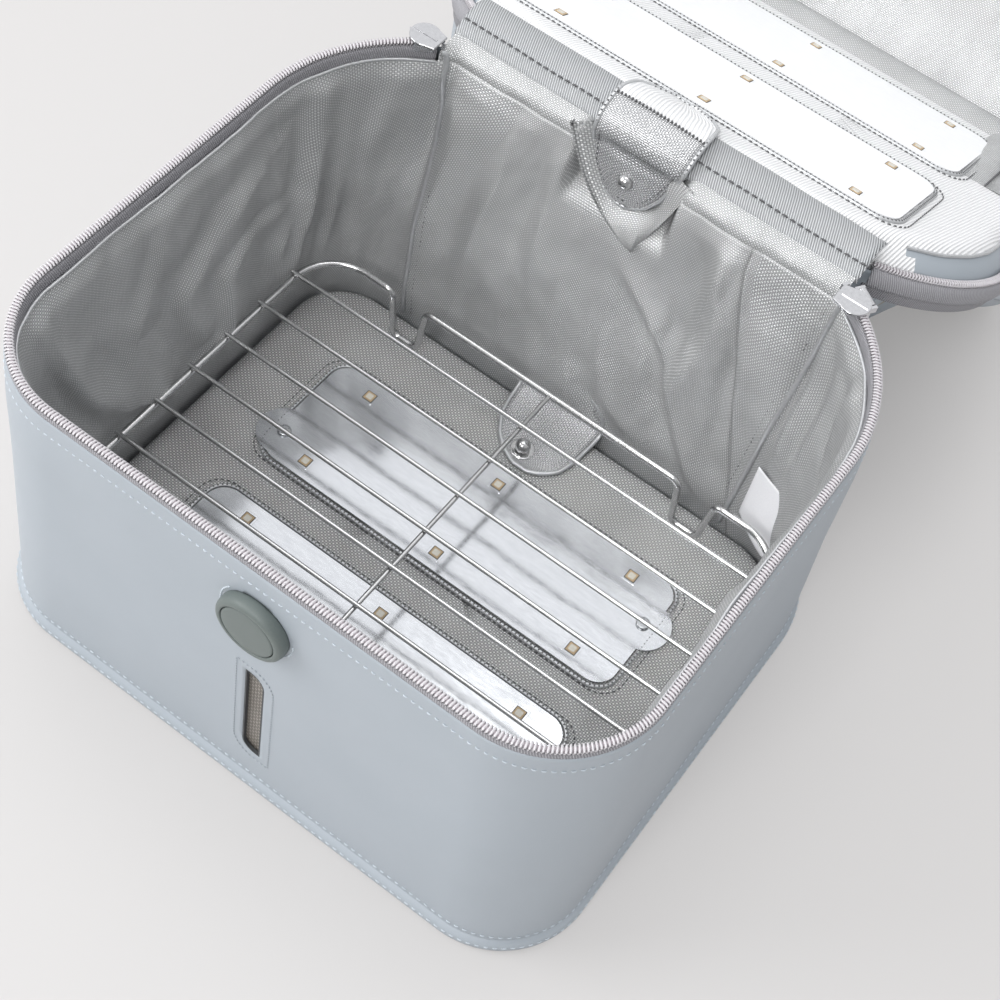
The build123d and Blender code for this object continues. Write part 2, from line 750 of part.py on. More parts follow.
def slider_channel():
    """Guide round the coil, with ears and the pin for the puller, on the corner's +Y side."""
    out = RIM_R_BACK - COIL_IN + SLIDER_FIT
    inn = RIM_R_BACK - COIL_IN - COIL_W - SLIDER_FIT
    lip_low, lip_high = RIM_H + SLIDER_FIT, COIL_Z - SLIDER_FIT / 2
    tape_out = RIM_R_BACK - TAPE_IN + SLIDER_FIT
    tape_in = RIM_R_BACK - TAPE_IN - TAPE - SLIDER_FIT
    guide = arc_piece(out, out + SLIDER_WALL, lip_low, SLIDER_Z, SLIDER_ARC)
    guide += arc_piece(inn - SLIDER_WALL, inn, lip_low, SLIDER_Z, SLIDER_ARC)
    guide += arc_piece(tape_out, out, lip_low, lip_high, SLIDER_ARC)
    guide += arc_piece(inn, tape_in, lip_low, lip_high, SLIDER_ARC)
    radius, z = pull_axis()
    half = PULL_WIDE / 2 + EAR + 0.2
    for side in (-1, 1):
        x = side * (half - EAR / 2)
        guide += slab(x - EAR / 2, x + EAR / 2, out + 0.3, radius + PIN_R + 0.6, z - 1.4, z + 1.4)
    return guide + rod((-half, radius, z), (half, radius, z), PIN_R)


def slider_shield():
    """Flat shield plate with a middle rib; x runs from its straight edge to its round end."""
    r = SLIDER_WIDE / 2
    mid = SLIDER_LONG - r
    body = make_face(Polyline((0, -SLIDER_TAIL / 2), (mid, -r), (mid, r), (0, SLIDER_TAIL / 2), close=True))
    plate = extrude(body + Pos(mid, 0) * Circle(r), amount=SLIDER_PLATE)
    plate = fillet(plate.faces().sort_by(Axis.Z)[-1].edges(), SLIDER_PLATE * 0.35)
    rib = Pos(SLIDER_LONG / 2 + 0.4, 0, SLIDER_PLATE) * Box(SLIDER_LONG - 2.6, 0.8, 2 * SLIDER_RIB)
    return plate + rib


def corner_place(side):
    return Pos(ARC_X, ARC_Y, 0) * Rot(0, 0, -SLIDER_ANGLE[side])


def on_side(shape, side):
    return shape if side == "right" else shape.mirror(Plane.YZ)


def zip_slider(side):
    guide = corner_place(side) * slider_channel()
    x = ARC_X + COIL_R * sin(radians(SLIDER_ANGLE[side])) - SLIDER_LONG / 2
    return on_side(guide + Pos(x, SLIDER_Y, SLIDER_Z) * slider_shield(), side)


def zip_puller(side):
    """Metal tab that hangs from the slider's pin outside the wall."""
    radius, z = pull_axis()
    eye = rod((-PULL_WIDE / 2, radius, z), (PULL_WIDE / 2, radius, z), PULL_EYE_R)
    end = PULL_WIDE / 2
    tab = Pos(0, -(PULL_LONG - end) / 2) * Rectangle(PULL_WIDE, PULL_LONG - end)
    tab += Pos(0, -(PULL_LONG - end)) * Circle(end)
    tab -= Pos(0, -(PULL_LONG - end)) * Circle(end * 0.45)
    plane = Plane(origin=(0, radius + PULL_THICK / 2, z), x_dir=(-1, 0, 0), z_dir=(0, 1, 0))
    leaf = extrude(plane * tab, amount=-PULL_THICK)
    bore = rod((-PULL_WIDE, radius, z), (PULL_WIDE, radius, z), PIN_R + PIN_FIT)
    return on_side(corner_place(side) * (eye + leaf - bore), side)


def zip_stops():
    """Small clips that close the four ends of the two coils beside the hinge."""
    clip = arc_piece(RIM_R_BACK - COIL_IN - COIL_W, RIM_R_BACK - COIL_IN, COIL_Z, COIL_TOP, STOP_ARC)
    parts = []
    for side in ("left", "right"):
        angle = zip_end(side) - 1.2 * STOP_ARC
        parts.append(on_side(Pos(ARC_X, ARC_Y, 0) * Rot(0, 0, -angle) * clip, side))
    return Compound(children=parts)


# Battery and electronics behind the rear lining
def cell_heights():
    first = LINING_Z + HOLDER_WALL + CELL_FIT + CELL_R
    return [first, first + 2 * CELL_R + 3 * CELL_FIT]


def battery_cells():
    x0, x1 = CELL_X - CELL_LONG / 2, CELL_X + CELL_LONG / 2
    return Compound(children=[rod((x0, CELL_Y, z), (x1, CELL_Y, z), CELL_R) for z in cell_heights()])


def battery_holder():
    low, high = cell_heights()
    reach = CELL_LONG / 2 + CELL_FIT + HOLDER_WALL
    r = CELL_R + CELL_FIT
    case = slab(CELL_X - reach, CELL_X + reach, CELL_Y - 2, CELL_Y + r + 0.2, LINING_Z + 0.2, high + r + HOLDER_WALL)
    inner = reach - HOLDER_WALL
    for z in (low, high):
        case -= rod((CELL_X - inner, CELL_Y, z), (CELL_X + inner, CELL_Y, z), r)
    return case


def rear_inner_y(z):
    return wall_plan(z).back - BOARD_IN - WALL_BOARD


def control_board():
    y = rear_inner_y(BOARD_Z) - STANDOFF
    half = BOARD_LONG / 2
    board = slab(BOARD_X - half, BOARD_X + half, y - BOARD_THICK, y, BOARD_Z - BOARD_TALL / 2, BOARD_Z + BOARD_TALL / 2)
    chip = slab(BOARD_X - 8, BOARD_X + 4, y - BOARD_THICK - 1.2, y - BOARD_THICK, BOARD_Z - 6, BOARD_Z + 6)
    x, z = BOARD_X + CHOKE_AT, BOARD_Z - CHOKE / 2
    coil = slab(x, x + CHOKE, y - BOARD_THICK - 0.4 * CHOKE, y - BOARD_THICK, z, z + CHOKE)
    board += chip + coil
    for x in (BOARD_X - half + 4, BOARD_X + half - 4):
        for z in (BOARD_Z - BOARD_TALL / 2 + 4, BOARD_Z + BOARD_TALL / 2 - 4):
            board += rod((x, y, z), (x, y + STANDOFF - 0.6, z), 2.0)
    return board


def body_cable():
    """Flat cable inside the rear wall, from the control board up to the upper flap."""
    x = FLAP_X
    low = BOARD_Z + BOARD_TALL / 2 + CABLE_WIDE / 2
    y = rear_inner_y(low + CABLE_WIDE / 2) - 3 * LAYER_GAP
    high = FLAP_LOW
    gap = wall_plan(high).back - wall_plan(low).back
    start = (y, low)
    path = Polyline(start, (y + gap, high), (y + gap - CABLE_THICK, high), (y - CABLE_THICK, low), close=True)
    up = extrude(Plane.YZ.offset(x - CABLE_WIDE / 2) * make_face(path), amount=CABLE_WIDE)
    side = slab(x - CABLE_WIDE / 2, BOARD_X - 10, y - CABLE_THICK, y, low - CABLE_WIDE / 2, low + CABLE_WIDE / 2)
    return up + side


floor_place = Pos(0, 0, PAD_TOP)
floor_sets = [(FLOOR_LED_X, FLOOR_LED_ROWS_REAR), (FLOOR_LED_X, FLOOR_LED_ROWS_FRONT)]
lid_sets = [(LID_LED_X, LID_LED_ROWS_REAR), (LID_LED_X, LID_LED_ROWS_FRONT)]
floor_boards, floor_packs, floor_glass = panels_on(floor_place, floor_sets)
lid_boards, lid_packs, lid_glass = panels_on(lid_place(), lid_sets)

nodes = {
    "base_shell": base_shell(),
    "base_board": base_board(),
    "outer_wall": outer_wall(),
    "wall_board": wall_board(),
    "window_frame": window_frame(),
    "window_mesh": window_mesh(),
    "body_lining": body_lining(),
    "lining_piping": lining_piping(),
    "floor_pad": floor_pad(),
    "floor_panel_rear": film_at(floor_place, FLOOR_LED_X, FLOOR_LED_ROWS_REAR, rear_tabs()),
    "floor_panel_front": film_at(floor_place, FLOOR_LED_X, FLOOR_LED_ROWS_FRONT, []),
    "floor_led_boards": floor_boards,
    "floor_leds": floor_packs,
    "floor_led_windows": floor_glass,
    "floor_rivets": floor_rivets(),
    "care_tag": care_tag(),
    "upper_flap_wall": upper_flap_wall(),
    "lower_cable_flap": lower_cable_flap(),
    "snap_studs": snap_studs(),
    "body_zip_tape": body_zip_tape(),
    "body_zip_teeth": body_zip_teeth(),
    "zip_stops": zip_stops(),
    "hinge_band_body": hinge_band_body(),
    "button_housing": button_housing(),
    "switch_board": switch_board(),
    "button_spring": button_spring(),
    "battery_cells": battery_cells(),
    "battery_holder": battery_holder(),
    "control_board": control_board(),
    "body_cable": body_cable(),
    "button_cap": button_cap(),
    "rack_frame": rack_frame(),
    "rack_cross_wires": rack_cross_wires(),
    "rack_spine": rack_spine(),
    "lid_cover": open_lid(lid_cover()),
    "lid_board": open_lid(lid_board()),
    "lid_foam": open_lid(lid_foam()),
    "lid_lining": open_lid(lid_lining()),
    "lid_piping": open_lid(lid_piping()),
    "lid_zip_tape": open_lid(lid_zip_tape()),
    "lid_zip_teeth": open_lid(lid_zip_teeth()),
    "hinge_band_lid": open_lid(hinge_band_lid()),
    "lid_panel_rear": film_at(lid_place(), LID_LED_X, LID_LED_ROWS_REAR, []),
    "lid_panel_front": film_at(lid_place(), LID_LED_X, LID_LED_ROWS_FRONT, []),
    "lid_led_boards": lid_boards,
    "lid_leds": lid_packs,
    "lid_led_windows": lid_glass,
    "upper_flap_lid": upper_flap_lid(),
}
for side in ("left", "right"):
    nodes["zip_slider_" + side] = zip_slider(side)
    nodes["zip_puller_" + side] = zip_puller(side)

for name, shape in nodes.items():
    export_step(shape, "parts/" + name + ".step")
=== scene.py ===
from collections import namedtuple
from math import cos, pi, radians, sin, tan

import bmesh
import bpy
import numpy as np
from mathutils import Matrix, Vector, noise


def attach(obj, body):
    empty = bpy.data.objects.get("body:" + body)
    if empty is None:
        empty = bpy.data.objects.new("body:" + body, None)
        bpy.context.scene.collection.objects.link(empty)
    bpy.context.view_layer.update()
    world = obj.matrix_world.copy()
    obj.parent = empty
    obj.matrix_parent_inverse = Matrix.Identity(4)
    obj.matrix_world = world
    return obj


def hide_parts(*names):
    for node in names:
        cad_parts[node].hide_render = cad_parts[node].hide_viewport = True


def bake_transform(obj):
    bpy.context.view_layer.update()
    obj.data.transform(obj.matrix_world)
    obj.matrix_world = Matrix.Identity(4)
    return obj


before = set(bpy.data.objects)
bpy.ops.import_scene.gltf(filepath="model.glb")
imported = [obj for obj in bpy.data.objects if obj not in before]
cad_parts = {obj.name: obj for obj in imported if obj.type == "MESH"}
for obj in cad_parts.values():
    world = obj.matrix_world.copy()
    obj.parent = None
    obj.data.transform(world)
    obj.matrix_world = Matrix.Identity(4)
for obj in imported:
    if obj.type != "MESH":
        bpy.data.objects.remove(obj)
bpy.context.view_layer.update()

MM = 0.001
UP = np.array([0.0, 0.0, 1.0])

# Sizes of the bag in millimetres, as in the part's source
Plan = namedtuple("Plan", "half front back r_front r_back")
RIM = Plan(130.0, -119.0, 119.0, 44.0, 76.0)
SEAM = Plan(132.75, -121.75, 121.75, 37.0, 60.0)
FLOOR = Plan(124.5, -114.5, 88.5, 32.0, 28.0)
RIM_H = 153.0
SEAM_H = 6.3
LEATHER = 1.4
LINING_IN = 4.1
KNEE_H = 139.5
HEM_H = 149.0
HEM_IN = 2.7
LINING_LOW = 5.1
PAD_LOW = 5.8
PAD_TOP = 14.0
AXIS_Y = 120.5
AXIS_Z = 158.1
LID_EDGE = 163.2
LID_H = 60.2
LID_TOP = LID_EDGE + LID_H
LID_SHOULDER = 5.8
LID_LEAN = 28.0
LID_ANGLE = 205.0
LID_FACE = 7.0
COIL_IN = 2.1
COIL_MID = 155.8
LID_COIL_MID = 160.9
ZIP_END = {"left": 33.3, "right": 28.3}
BUTTON = (3.5, 124.0)
BUTTON_HOLE_R = 13.1
STITCH_R = 15.3
COIL_R = 5.2
SLOT = (4.25, 57.0)
SLOT_SIZE = (8.5, 60.0)
SLOPE = (SEAM.back - RIM.back) / (RIM_H - SEAM_H)
FLAP_X = -5.5

# Camera solved from the photograph, in millimetres and degrees
CAMERA_AT = (178.17, -342.09, 650.59)
CAMERA_TURN = (24.32, 56.90, 13.77)
CAMERA_LENS = 65.33
SENSOR = 36.0


# Outlines
def grow(plan, out):
    return Plan(plan.half + out, plan.front - out, plan.back + out, plan.r_front + out, plan.r_back + out)


def between(low, high, t):
    return Plan(*[a + (b - a) * t for a, b in zip(low, high)])


def wall_plan(z):
    t = (z - SEAM_H) / (RIM_H - SEAM_H)
    return between(SEAM, RIM, min(max(t, 0), 1))


def inner_plan(plan, inward):
    """A plan drawn in by a distance, whose corners keep a radius."""
    shape = grow(plan, -inward)
    return shape._replace(r_front=max(shape.r_front, 2.0), r_back=max(shape.r_back, 2.0))


def closed_middle(rows, plan):
    """Rows of a flat-topped form, closed by one more row along its middle line."""
    middle = rows[-1].copy()
    middle[:, 1] = (plan.front + plan.back) / 2
    return np.array(rows + [middle])


def flat_normals(plan):
    """Outward normals round a plan, as points in space."""
    side = trace(plan, 2)[:, 2:]
    return np.column_stack([side, np.zeros(len(side))])


def lid_plan(z):
    rise = LID_H - LID_SHOULDER
    far = Plan(RIM.half - 2.5, RIM.front + 2, RIM.back - rise * tan(radians(LID_LEAN)), 42.0, 64.0)
    return between(RIM, far, min(max((z - LID_EDGE) / rise, 0), 1))


def trace(plan, fine=1):
    """Points and outward normals round a plan, from the middle of the back by the left side."""
    w, f, b, rf, rb = plan
    steps = []

    def line(x0, y0, x1, y1, nx, ny, count):
        for t in np.arange(count * fine) / (count * fine):
            steps.append((x0 + (x1 - x0) * t, y0 + (y1 - y0) * t, nx, ny))

    def arc(x, y, r, start, count):
        for t in np.arange(count * fine) / (count * fine):
            a = radians(start + 90 * t)
            steps.append((x + r * cos(a), y + r * sin(a), cos(a), sin(a)))

    line(0, b, rb - w, b, 0, 1, 24)
    arc(rb - w, b - rb, rb, 90, 24)
    line(-w, b - rb, -w, f + rf, -1, 0, 30)
    arc(rf - w, f + rf, rf, 180, 18)
    line(rf - w, f, w - rf, f, 0, -1, 48)
    arc(w - rf, f + rf, rf, 270, 18)
    line(w, f + rf, w, b - rb, 1, 0, 30)
    arc(w - rb, b - rb, rb, 0, 24)
    line(w - rb, b, 0, b, 0, 1, 24)
    steps.append((0, b, 0, 1))
    return np.array(steps)


def row(plan, z, out=0.0, fine=1):
    t = trace(plan, fine)
    return np.column_stack([t[:, 0] + out * t[:, 2], t[:, 1] + out * t[:, 3], np.full(len(t), z)])


def open_lid(points):
    """Turns points of the closed lid into the open pose of the photograph."""
    p = np.array(points, float)
    a = radians(-LID_ANGLE)
    y = p[..., 1] - AXIS_Y
    z = p[..., 2] - AXIS_Z
    p[..., 1] = AXIS_Y + y * cos(a) - z * sin(a)
    p[..., 2] = AXIS_Z + y * sin(a) + z * cos(a)
    return p


def lid_point(x, u, b):
    """A point by its distance from the hinge axis along the open lid and its height above the axis plane."""
    a = radians(LID_ANGLE - 180)
    return np.array([x, AXIS_Y + u * cos(a) + b * sin(a), AXIS_Z - u * sin(a) + b * cos(a)])


# Meshes
def mesh_object(name, points, faces, mm=None):
    mesh = bpy.data.meshes.new(name)
    mesh.from_pydata((np.asarray(points, float) * MM).tolist(), [], faces)
    mesh.polygons.foreach_set("use_smooth", [True] * len(mesh.polygons))
    if mm is not None:
        field = mesh.attributes.new("mm", "FLOAT_VECTOR", "POINT")
        field.data.foreach_set("vector", np.column_stack([mm, np.zeros(len(mm))]).ravel())
    mesh.update()
    piece = bpy.data.objects.new(name, mesh)
    bpy.context.scene.collection.objects.link(piece)
    return piece


def grid_faces(rows, cols, start=0, flip=False):
    faces = []
    for i in range(rows - 1):
        for j in range(cols - 1):
            a = start + i * cols + j
            face = (a, a + 1, a + cols + 1, a + cols)
            faces.append(face[::-1] if flip else face)
    return faces


def lengths(grid):
    """Distance in millimetres along the columns and rows of a grid of points."""
    across = np.linalg.norm(np.diff(grid, axis=1), axis=2).mean(axis=0)
    along = np.linalg.norm(np.diff(grid, axis=0), axis=2).mean(axis=1)
    u = np.concatenate([[0], np.cumsum(across)])
    v = np.concatenate([[0], np.cumsum(along)])
    return u, v


def grid_object(name, grid, flip=False):
    rows, cols = grid.shape[:2]
    u, v = lengths(grid)
    uu, vv = np.meshgrid(u, v)
    mm = np.column_stack([uu.ravel(), vv.ravel()])
    return mesh_object(name, grid.reshape(-1, 3), grid_faces(rows, cols, flip=flip), mm)


def smooth(points, fine=4):
    """Catmull-Rom curve through a few points."""
    p = np.asarray(points, float)
    p = np.vstack([2 * p[0] - p[1], p, 2 * p[-1] - p[-2]])
    out = []
    for i in range(1, len(p) - 2):
        a, b, c, d = p[i - 1], p[i], p[i + 1], p[i + 2]
        for t in np.arange(fine) / fine:
            out.append(0.5 * (2 * b + (c - a) * t + (2 * a - 5 * b + 4 * c - d) * t * t
                              + (3 * b - a - 3 * c + d) * t ** 3))
    out.append(p[-2])
    return np.array(out)


def evenly(points, step, field=None):
    """Points, directions and one field at an even distance along a line."""
    p = np.asarray(points, float)
    d = np.concatenate([[0], np.cumsum(np.linalg.norm(np.diff(p, axis=0), axis=1))])
    count = max(int(round(d[-1] / step)), 2)
    at = (np.arange(count) + 0.5) * d[-1] / count
    q = np.column_stack([np.interp(at, d, p[:, k]) for k in range(3)])
    ahead = np.column_stack([np.interp(at + 0.2, d, p[:, k]) for k in range(3)])
    behind = np.column_stack([np.interp(at - 0.2, d, p[:, k]) for k in range(3)])
    values = np.broadcast_to(np.asarray(field if field is not None else UP, float), p.shape)
    values = np.column_stack([np.interp(at, d, values[:, k]) for k in range(3)])
    return q, unit(ahead - behind), unit(values)


def unit(v):
    v = np.asarray(v, float)
    return v / np.maximum(np.linalg.norm(v, axis=-1, keepdims=True), 1e-9)


def tube(name, path, radius, sides=8, up=(0, 0, 1)):
    """A round cord along a path."""
    p = np.asarray(path, float)
    way = unit(np.gradient(p, axis=0))
    side = unit(np.cross(way, np.broadcast_to(up, p.shape)))
    top = np.cross(side, way)
    a = np.linspace(0, 2 * pi, sides + 1)
    grid = p[None] + radius * (np.cos(a)[:, None, None] * side[None] + np.sin(a)[:, None, None] * top[None])
    return grid_object(name, grid)


def stitches(name, path, normals, pitch=3.2, long=2.3, thick=0.34, lift=0.12):
    """A row of sewn stitches: short threads whose two ends dive into the cloth."""
    q, way, n = evenly(path, pitch, normals)
    side = unit(np.cross(way, n))
    points, faces = [], []
    spots = np.linspace(-1, 1, 5)
    for c, w, s, m in zip(q, way, side, n):
        base = len(points)
        for t in spots:
            r = thick * (1 - 0.45 * t ** 4)
            mid = c + w * t * long / 2 + m * (lift - (lift + thick) * t ** 4)
            for k in range(5):
                a = 2 * pi * k / 5
                points.append(mid + r * (cos(a) * s + sin(a) * m))
        for i in range(4):
            for k in range(5):
                a = base + i * 5 + k
                b = base + i * 5 + (k + 1) % 5
                faces.append((a, b, b + 5, a + 5))
    return mesh_object(name, points, faces)


# Materials
def node(tree, kind, ins=(), **props):
    """Adds a shader node and fills its inputs with numbers or with other nodes' outputs."""
    made = tree.nodes.new(kind)
    for key, value in props.items():
        setattr(made, key, value)
    for key, value in dict(ins).items():
        if isinstance(value, bpy.types.NodeSocket):
            tree.links.new(value, made.inputs[key])
        else:
            made.inputs[key].default_value = value
    return made


def calc(tree, operation, a, b=0.0, c=0.0):
    return node(tree, "ShaderNodeMath", {0: a, 1: b, 2: c}, operation=operation).outputs[0]


def linear(rgb):
    """Linear colour of an 8-bit screen colour."""
    out = []
    for value in rgb:
        v = value / 255
        out.append(v / 12.92 if v <= 0.04045 else ((v + 0.055) / 1.055) ** 2.4)
    return (*out, 1.0)


def cloth_space(tree):
    return node(tree, "ShaderNodeAttribute", attribute_name="mm").outputs["Vector"]


def vector(tree, operation, a, b):
    return node(tree, "ShaderNodeVectorMath", {0: a, 1: b}, operation=operation).outputs[0]


def object_space(tree):
    """Object coordinates in millimetres."""
    space = node(tree, "ShaderNodeTexCoord").outputs["Object"]
    return vector(tree, "MULTIPLY", space, (1000, 1000, 1000))


def noise_of(tree, space, scale, detail=2.0, rough=0.5, stretch=(1, 1, 1)):
    if stretch != (1, 1, 1):
        space = vector(tree, "MULTIPLY", space, stretch)
    made = node(tree, "ShaderNodeTexNoise",
                {"Vector": space, "Scale": scale, "Detail": detail, "Roughness": rough})
    return made.outputs["Fac"]


def weave_of(tree, space, pitch, wobble=0.12):
    """Height of a plain weave: warp and weft threads take turns on top."""
    drift = node(tree, "ShaderNodeTexNoise", {"Vector": space, "Scale": 0.35, "Detail": 2.0})
    drift = vector(tree, "MULTIPLY", drift.outputs["Color"], (wobble * pitch,) * 3)
    space = vector(tree, "ADD", space, drift)
    parts = node(tree, "ShaderNodeSeparateXYZ", {0: space})
    u = calc(tree, "MULTIPLY", parts.outputs[0], 1 / pitch)
    v = calc(tree, "MULTIPLY", parts.outputs[1], 1 / pitch)
    cells = calc(tree, "ADD", calc(tree, "FLOOR", u), calc(tree, "FLOOR", v))
    turn = calc(tree, "PINGPONG", cells, 1.0)
    warp = calc(tree, "ABSOLUTE", calc(tree, "SINE", calc(tree, "MULTIPLY", u, pi)))
    weft = calc(tree, "ABSOLUTE", calc(tree, "SINE", calc(tree, "MULTIPLY", v, pi)))
    first = calc(tree, "MULTIPLY", calc(tree, "POWER", warp, 0.5), calc(tree, "POWER", weft, 0.9))
    second = calc(tree, "MULTIPLY", calc(tree, "POWER", weft, 0.5), calc(tree, "POWER", warp, 0.9))
    keep = calc(tree, "SUBTRACT", 1.0, turn)
    second = calc(tree, "MULTIPLY", second, calc(tree, "MULTIPLY", keep, 0.5))
    return calc(tree, "ADD", calc(tree, "MULTIPLY", first, turn), second)


def tint(tree, factor, dark, light):
    ramp = node(tree, "ShaderNodeMix", data_type="RGBA")
    tree.links.new(factor, ramp.inputs["Factor"])
    ramp.inputs[6].default_value = linear(dark)
    ramp.inputs[7].default_value = linear(light)
    return ramp.outputs[2]


def bump(tree, height, strength, distance):
    return node(tree, "ShaderNodeBump",
                {"Height": height, "Strength": strength, "Distance": distance * MM}).outputs[0]


def material(name, build, constants):
    """A material whose colour, roughness and bump come from build, and whose constants sit on the shader."""
    made = bpy.data.materials.new(name)
    made.use_nodes = True
    tree = made.node_tree
    shader = tree.nodes["Principled BSDF"]
    for key, value in constants.items():
        shader.inputs[key].default_value = value
    for key, socket in build(tree).items():
        tree.links.new(socket, shader.inputs[key])
    return made


def ranged(tree, factor, low, high):
    return node(tree, "ShaderNodeMapRange", {"Value": factor, "To Min": low, "To Max": high}).outputs[0]


def leather_look(dark, light, grain=1.0):
    def build(tree):
        space = object_space(tree)
        cells = node(tree, "ShaderNodeTexVoronoi", {"Vector": space, "Scale": 1.5}).outputs["Distance"]
        fine = noise_of(tree, space, 3.0, 3.0)
        broad = noise_of(tree, space, 0.02, 3.0)
        mixed = calc(tree, "ADD", calc(tree, "MULTIPLY", cells, 0.6), calc(tree, "MULTIPLY", fine, 0.6))
        return {
            "Base Color": tint(tree, broad, dark, light),
            "Roughness": ranged(tree, fine, 0.42, 0.56),
            "Normal": bump(tree, mixed, 0.22 * grain, 0.12),
        }
    return build


def weave_look(pitch, dark, light, rough=(0.26, 0.46), strength=0.6, deep=0.2, crinkle=0.0):
    def build(tree):
        space = cloth_space(tree)
        threads = weave_of(tree, space, pitch)
        broad = noise_of(tree, space, 0.05, 3.0)
        fuzz = noise_of(tree, space, 2.5, 2.0)
        # The colour follows the thread height: lighter on the thread crowns, a painted highlight, and darker
        # between the threads, painted shade; the broad noise adds random tone.
        shade = calc(tree, "ADD", calc(tree, "MULTIPLY", threads, 0.8), calc(tree, "MULTIPLY", broad, 0.2))
        height = calc(tree, "ADD", threads, calc(tree, "MULTIPLY", fuzz, 0.15))
        if crinkle:
            creases = noise_of(tree, space, 0.09, 4.0, 0.55, stretch=(1.0, 0.55, 1.0))
            height = calc(tree, "ADD", height, calc(tree, "MULTIPLY", creases, crinkle))
        return {
            "Base Color": tint(tree, shade, dark, light),
            "Roughness": ranged(tree, fuzz, *rough),
            "Normal": bump(tree, height, strength, deep),
        }
    return build


def film_look(dark, light, rough=(0.12, 0.3), wave=0.5):
    def build(tree):
        space = object_space(tree)
        broad = noise_of(tree, space, 0.03, 2.0)
        fine = noise_of(tree, space, 0.8, 4.0, stretch=(0.25, 1, 1))
        height = calc(tree, "ADD", calc(tree, "MULTIPLY", broad, 4.0), calc(tree, "MULTIPLY", fine, 0.05))
        return {
            "Base Color": tint(tree, fine, dark, light),
            "Roughness": ranged(tree, fine, *rough),
            "Normal": bump(tree, height, wave, 1.0),
        }
    return build


def plain_look(dark, light, rough=(0.4, 0.5), scale=0.8, grain=0.1, deep=0.1, stretch=(1, 1, 1)):
    def build(tree):
        space = object_space(tree)
        fine = noise_of(tree, space, scale, 4.0, stretch=stretch)
        return {
            "Base Color": tint(tree, fine, dark, light),
            "Roughness": ranged(tree, fine, *rough),
            "Normal": bump(tree, fine, grain, deep),
        }
    return build


def ribbed_look(pitch, dark, light, rough=(0.5, 0.7), axis=0, lean=0.35):
    def build(tree):
        space = cloth_space(tree)
        parts = node(tree, "ShaderNodeSeparateXYZ", {0: space})
        run = calc(tree, "ADD", parts.outputs[axis], calc(tree, "MULTIPLY", parts.outputs[1 - axis], lean))
        wave = calc(tree, "SINE", calc(tree, "MULTIPLY", run, 2 * pi / pitch))
        wave = calc(tree, "MULTIPLY_ADD", wave, 0.5, 0.5)
        fuzz = noise_of(tree, space, 3.0, 2.0)
        height = calc(tree, "ADD", wave, calc(tree, "MULTIPLY", fuzz, 0.3))
        # The colour follows the ribs: lighter on their crests, a painted highlight, and darker in the
        # troughs, painted shade.
        return {
            "Base Color": tint(tree, wave, dark, light),
            "Roughness": ranged(tree, fuzz, *rough),
            "Normal": bump(tree, height, 0.8, 0.35),
        }
    return build


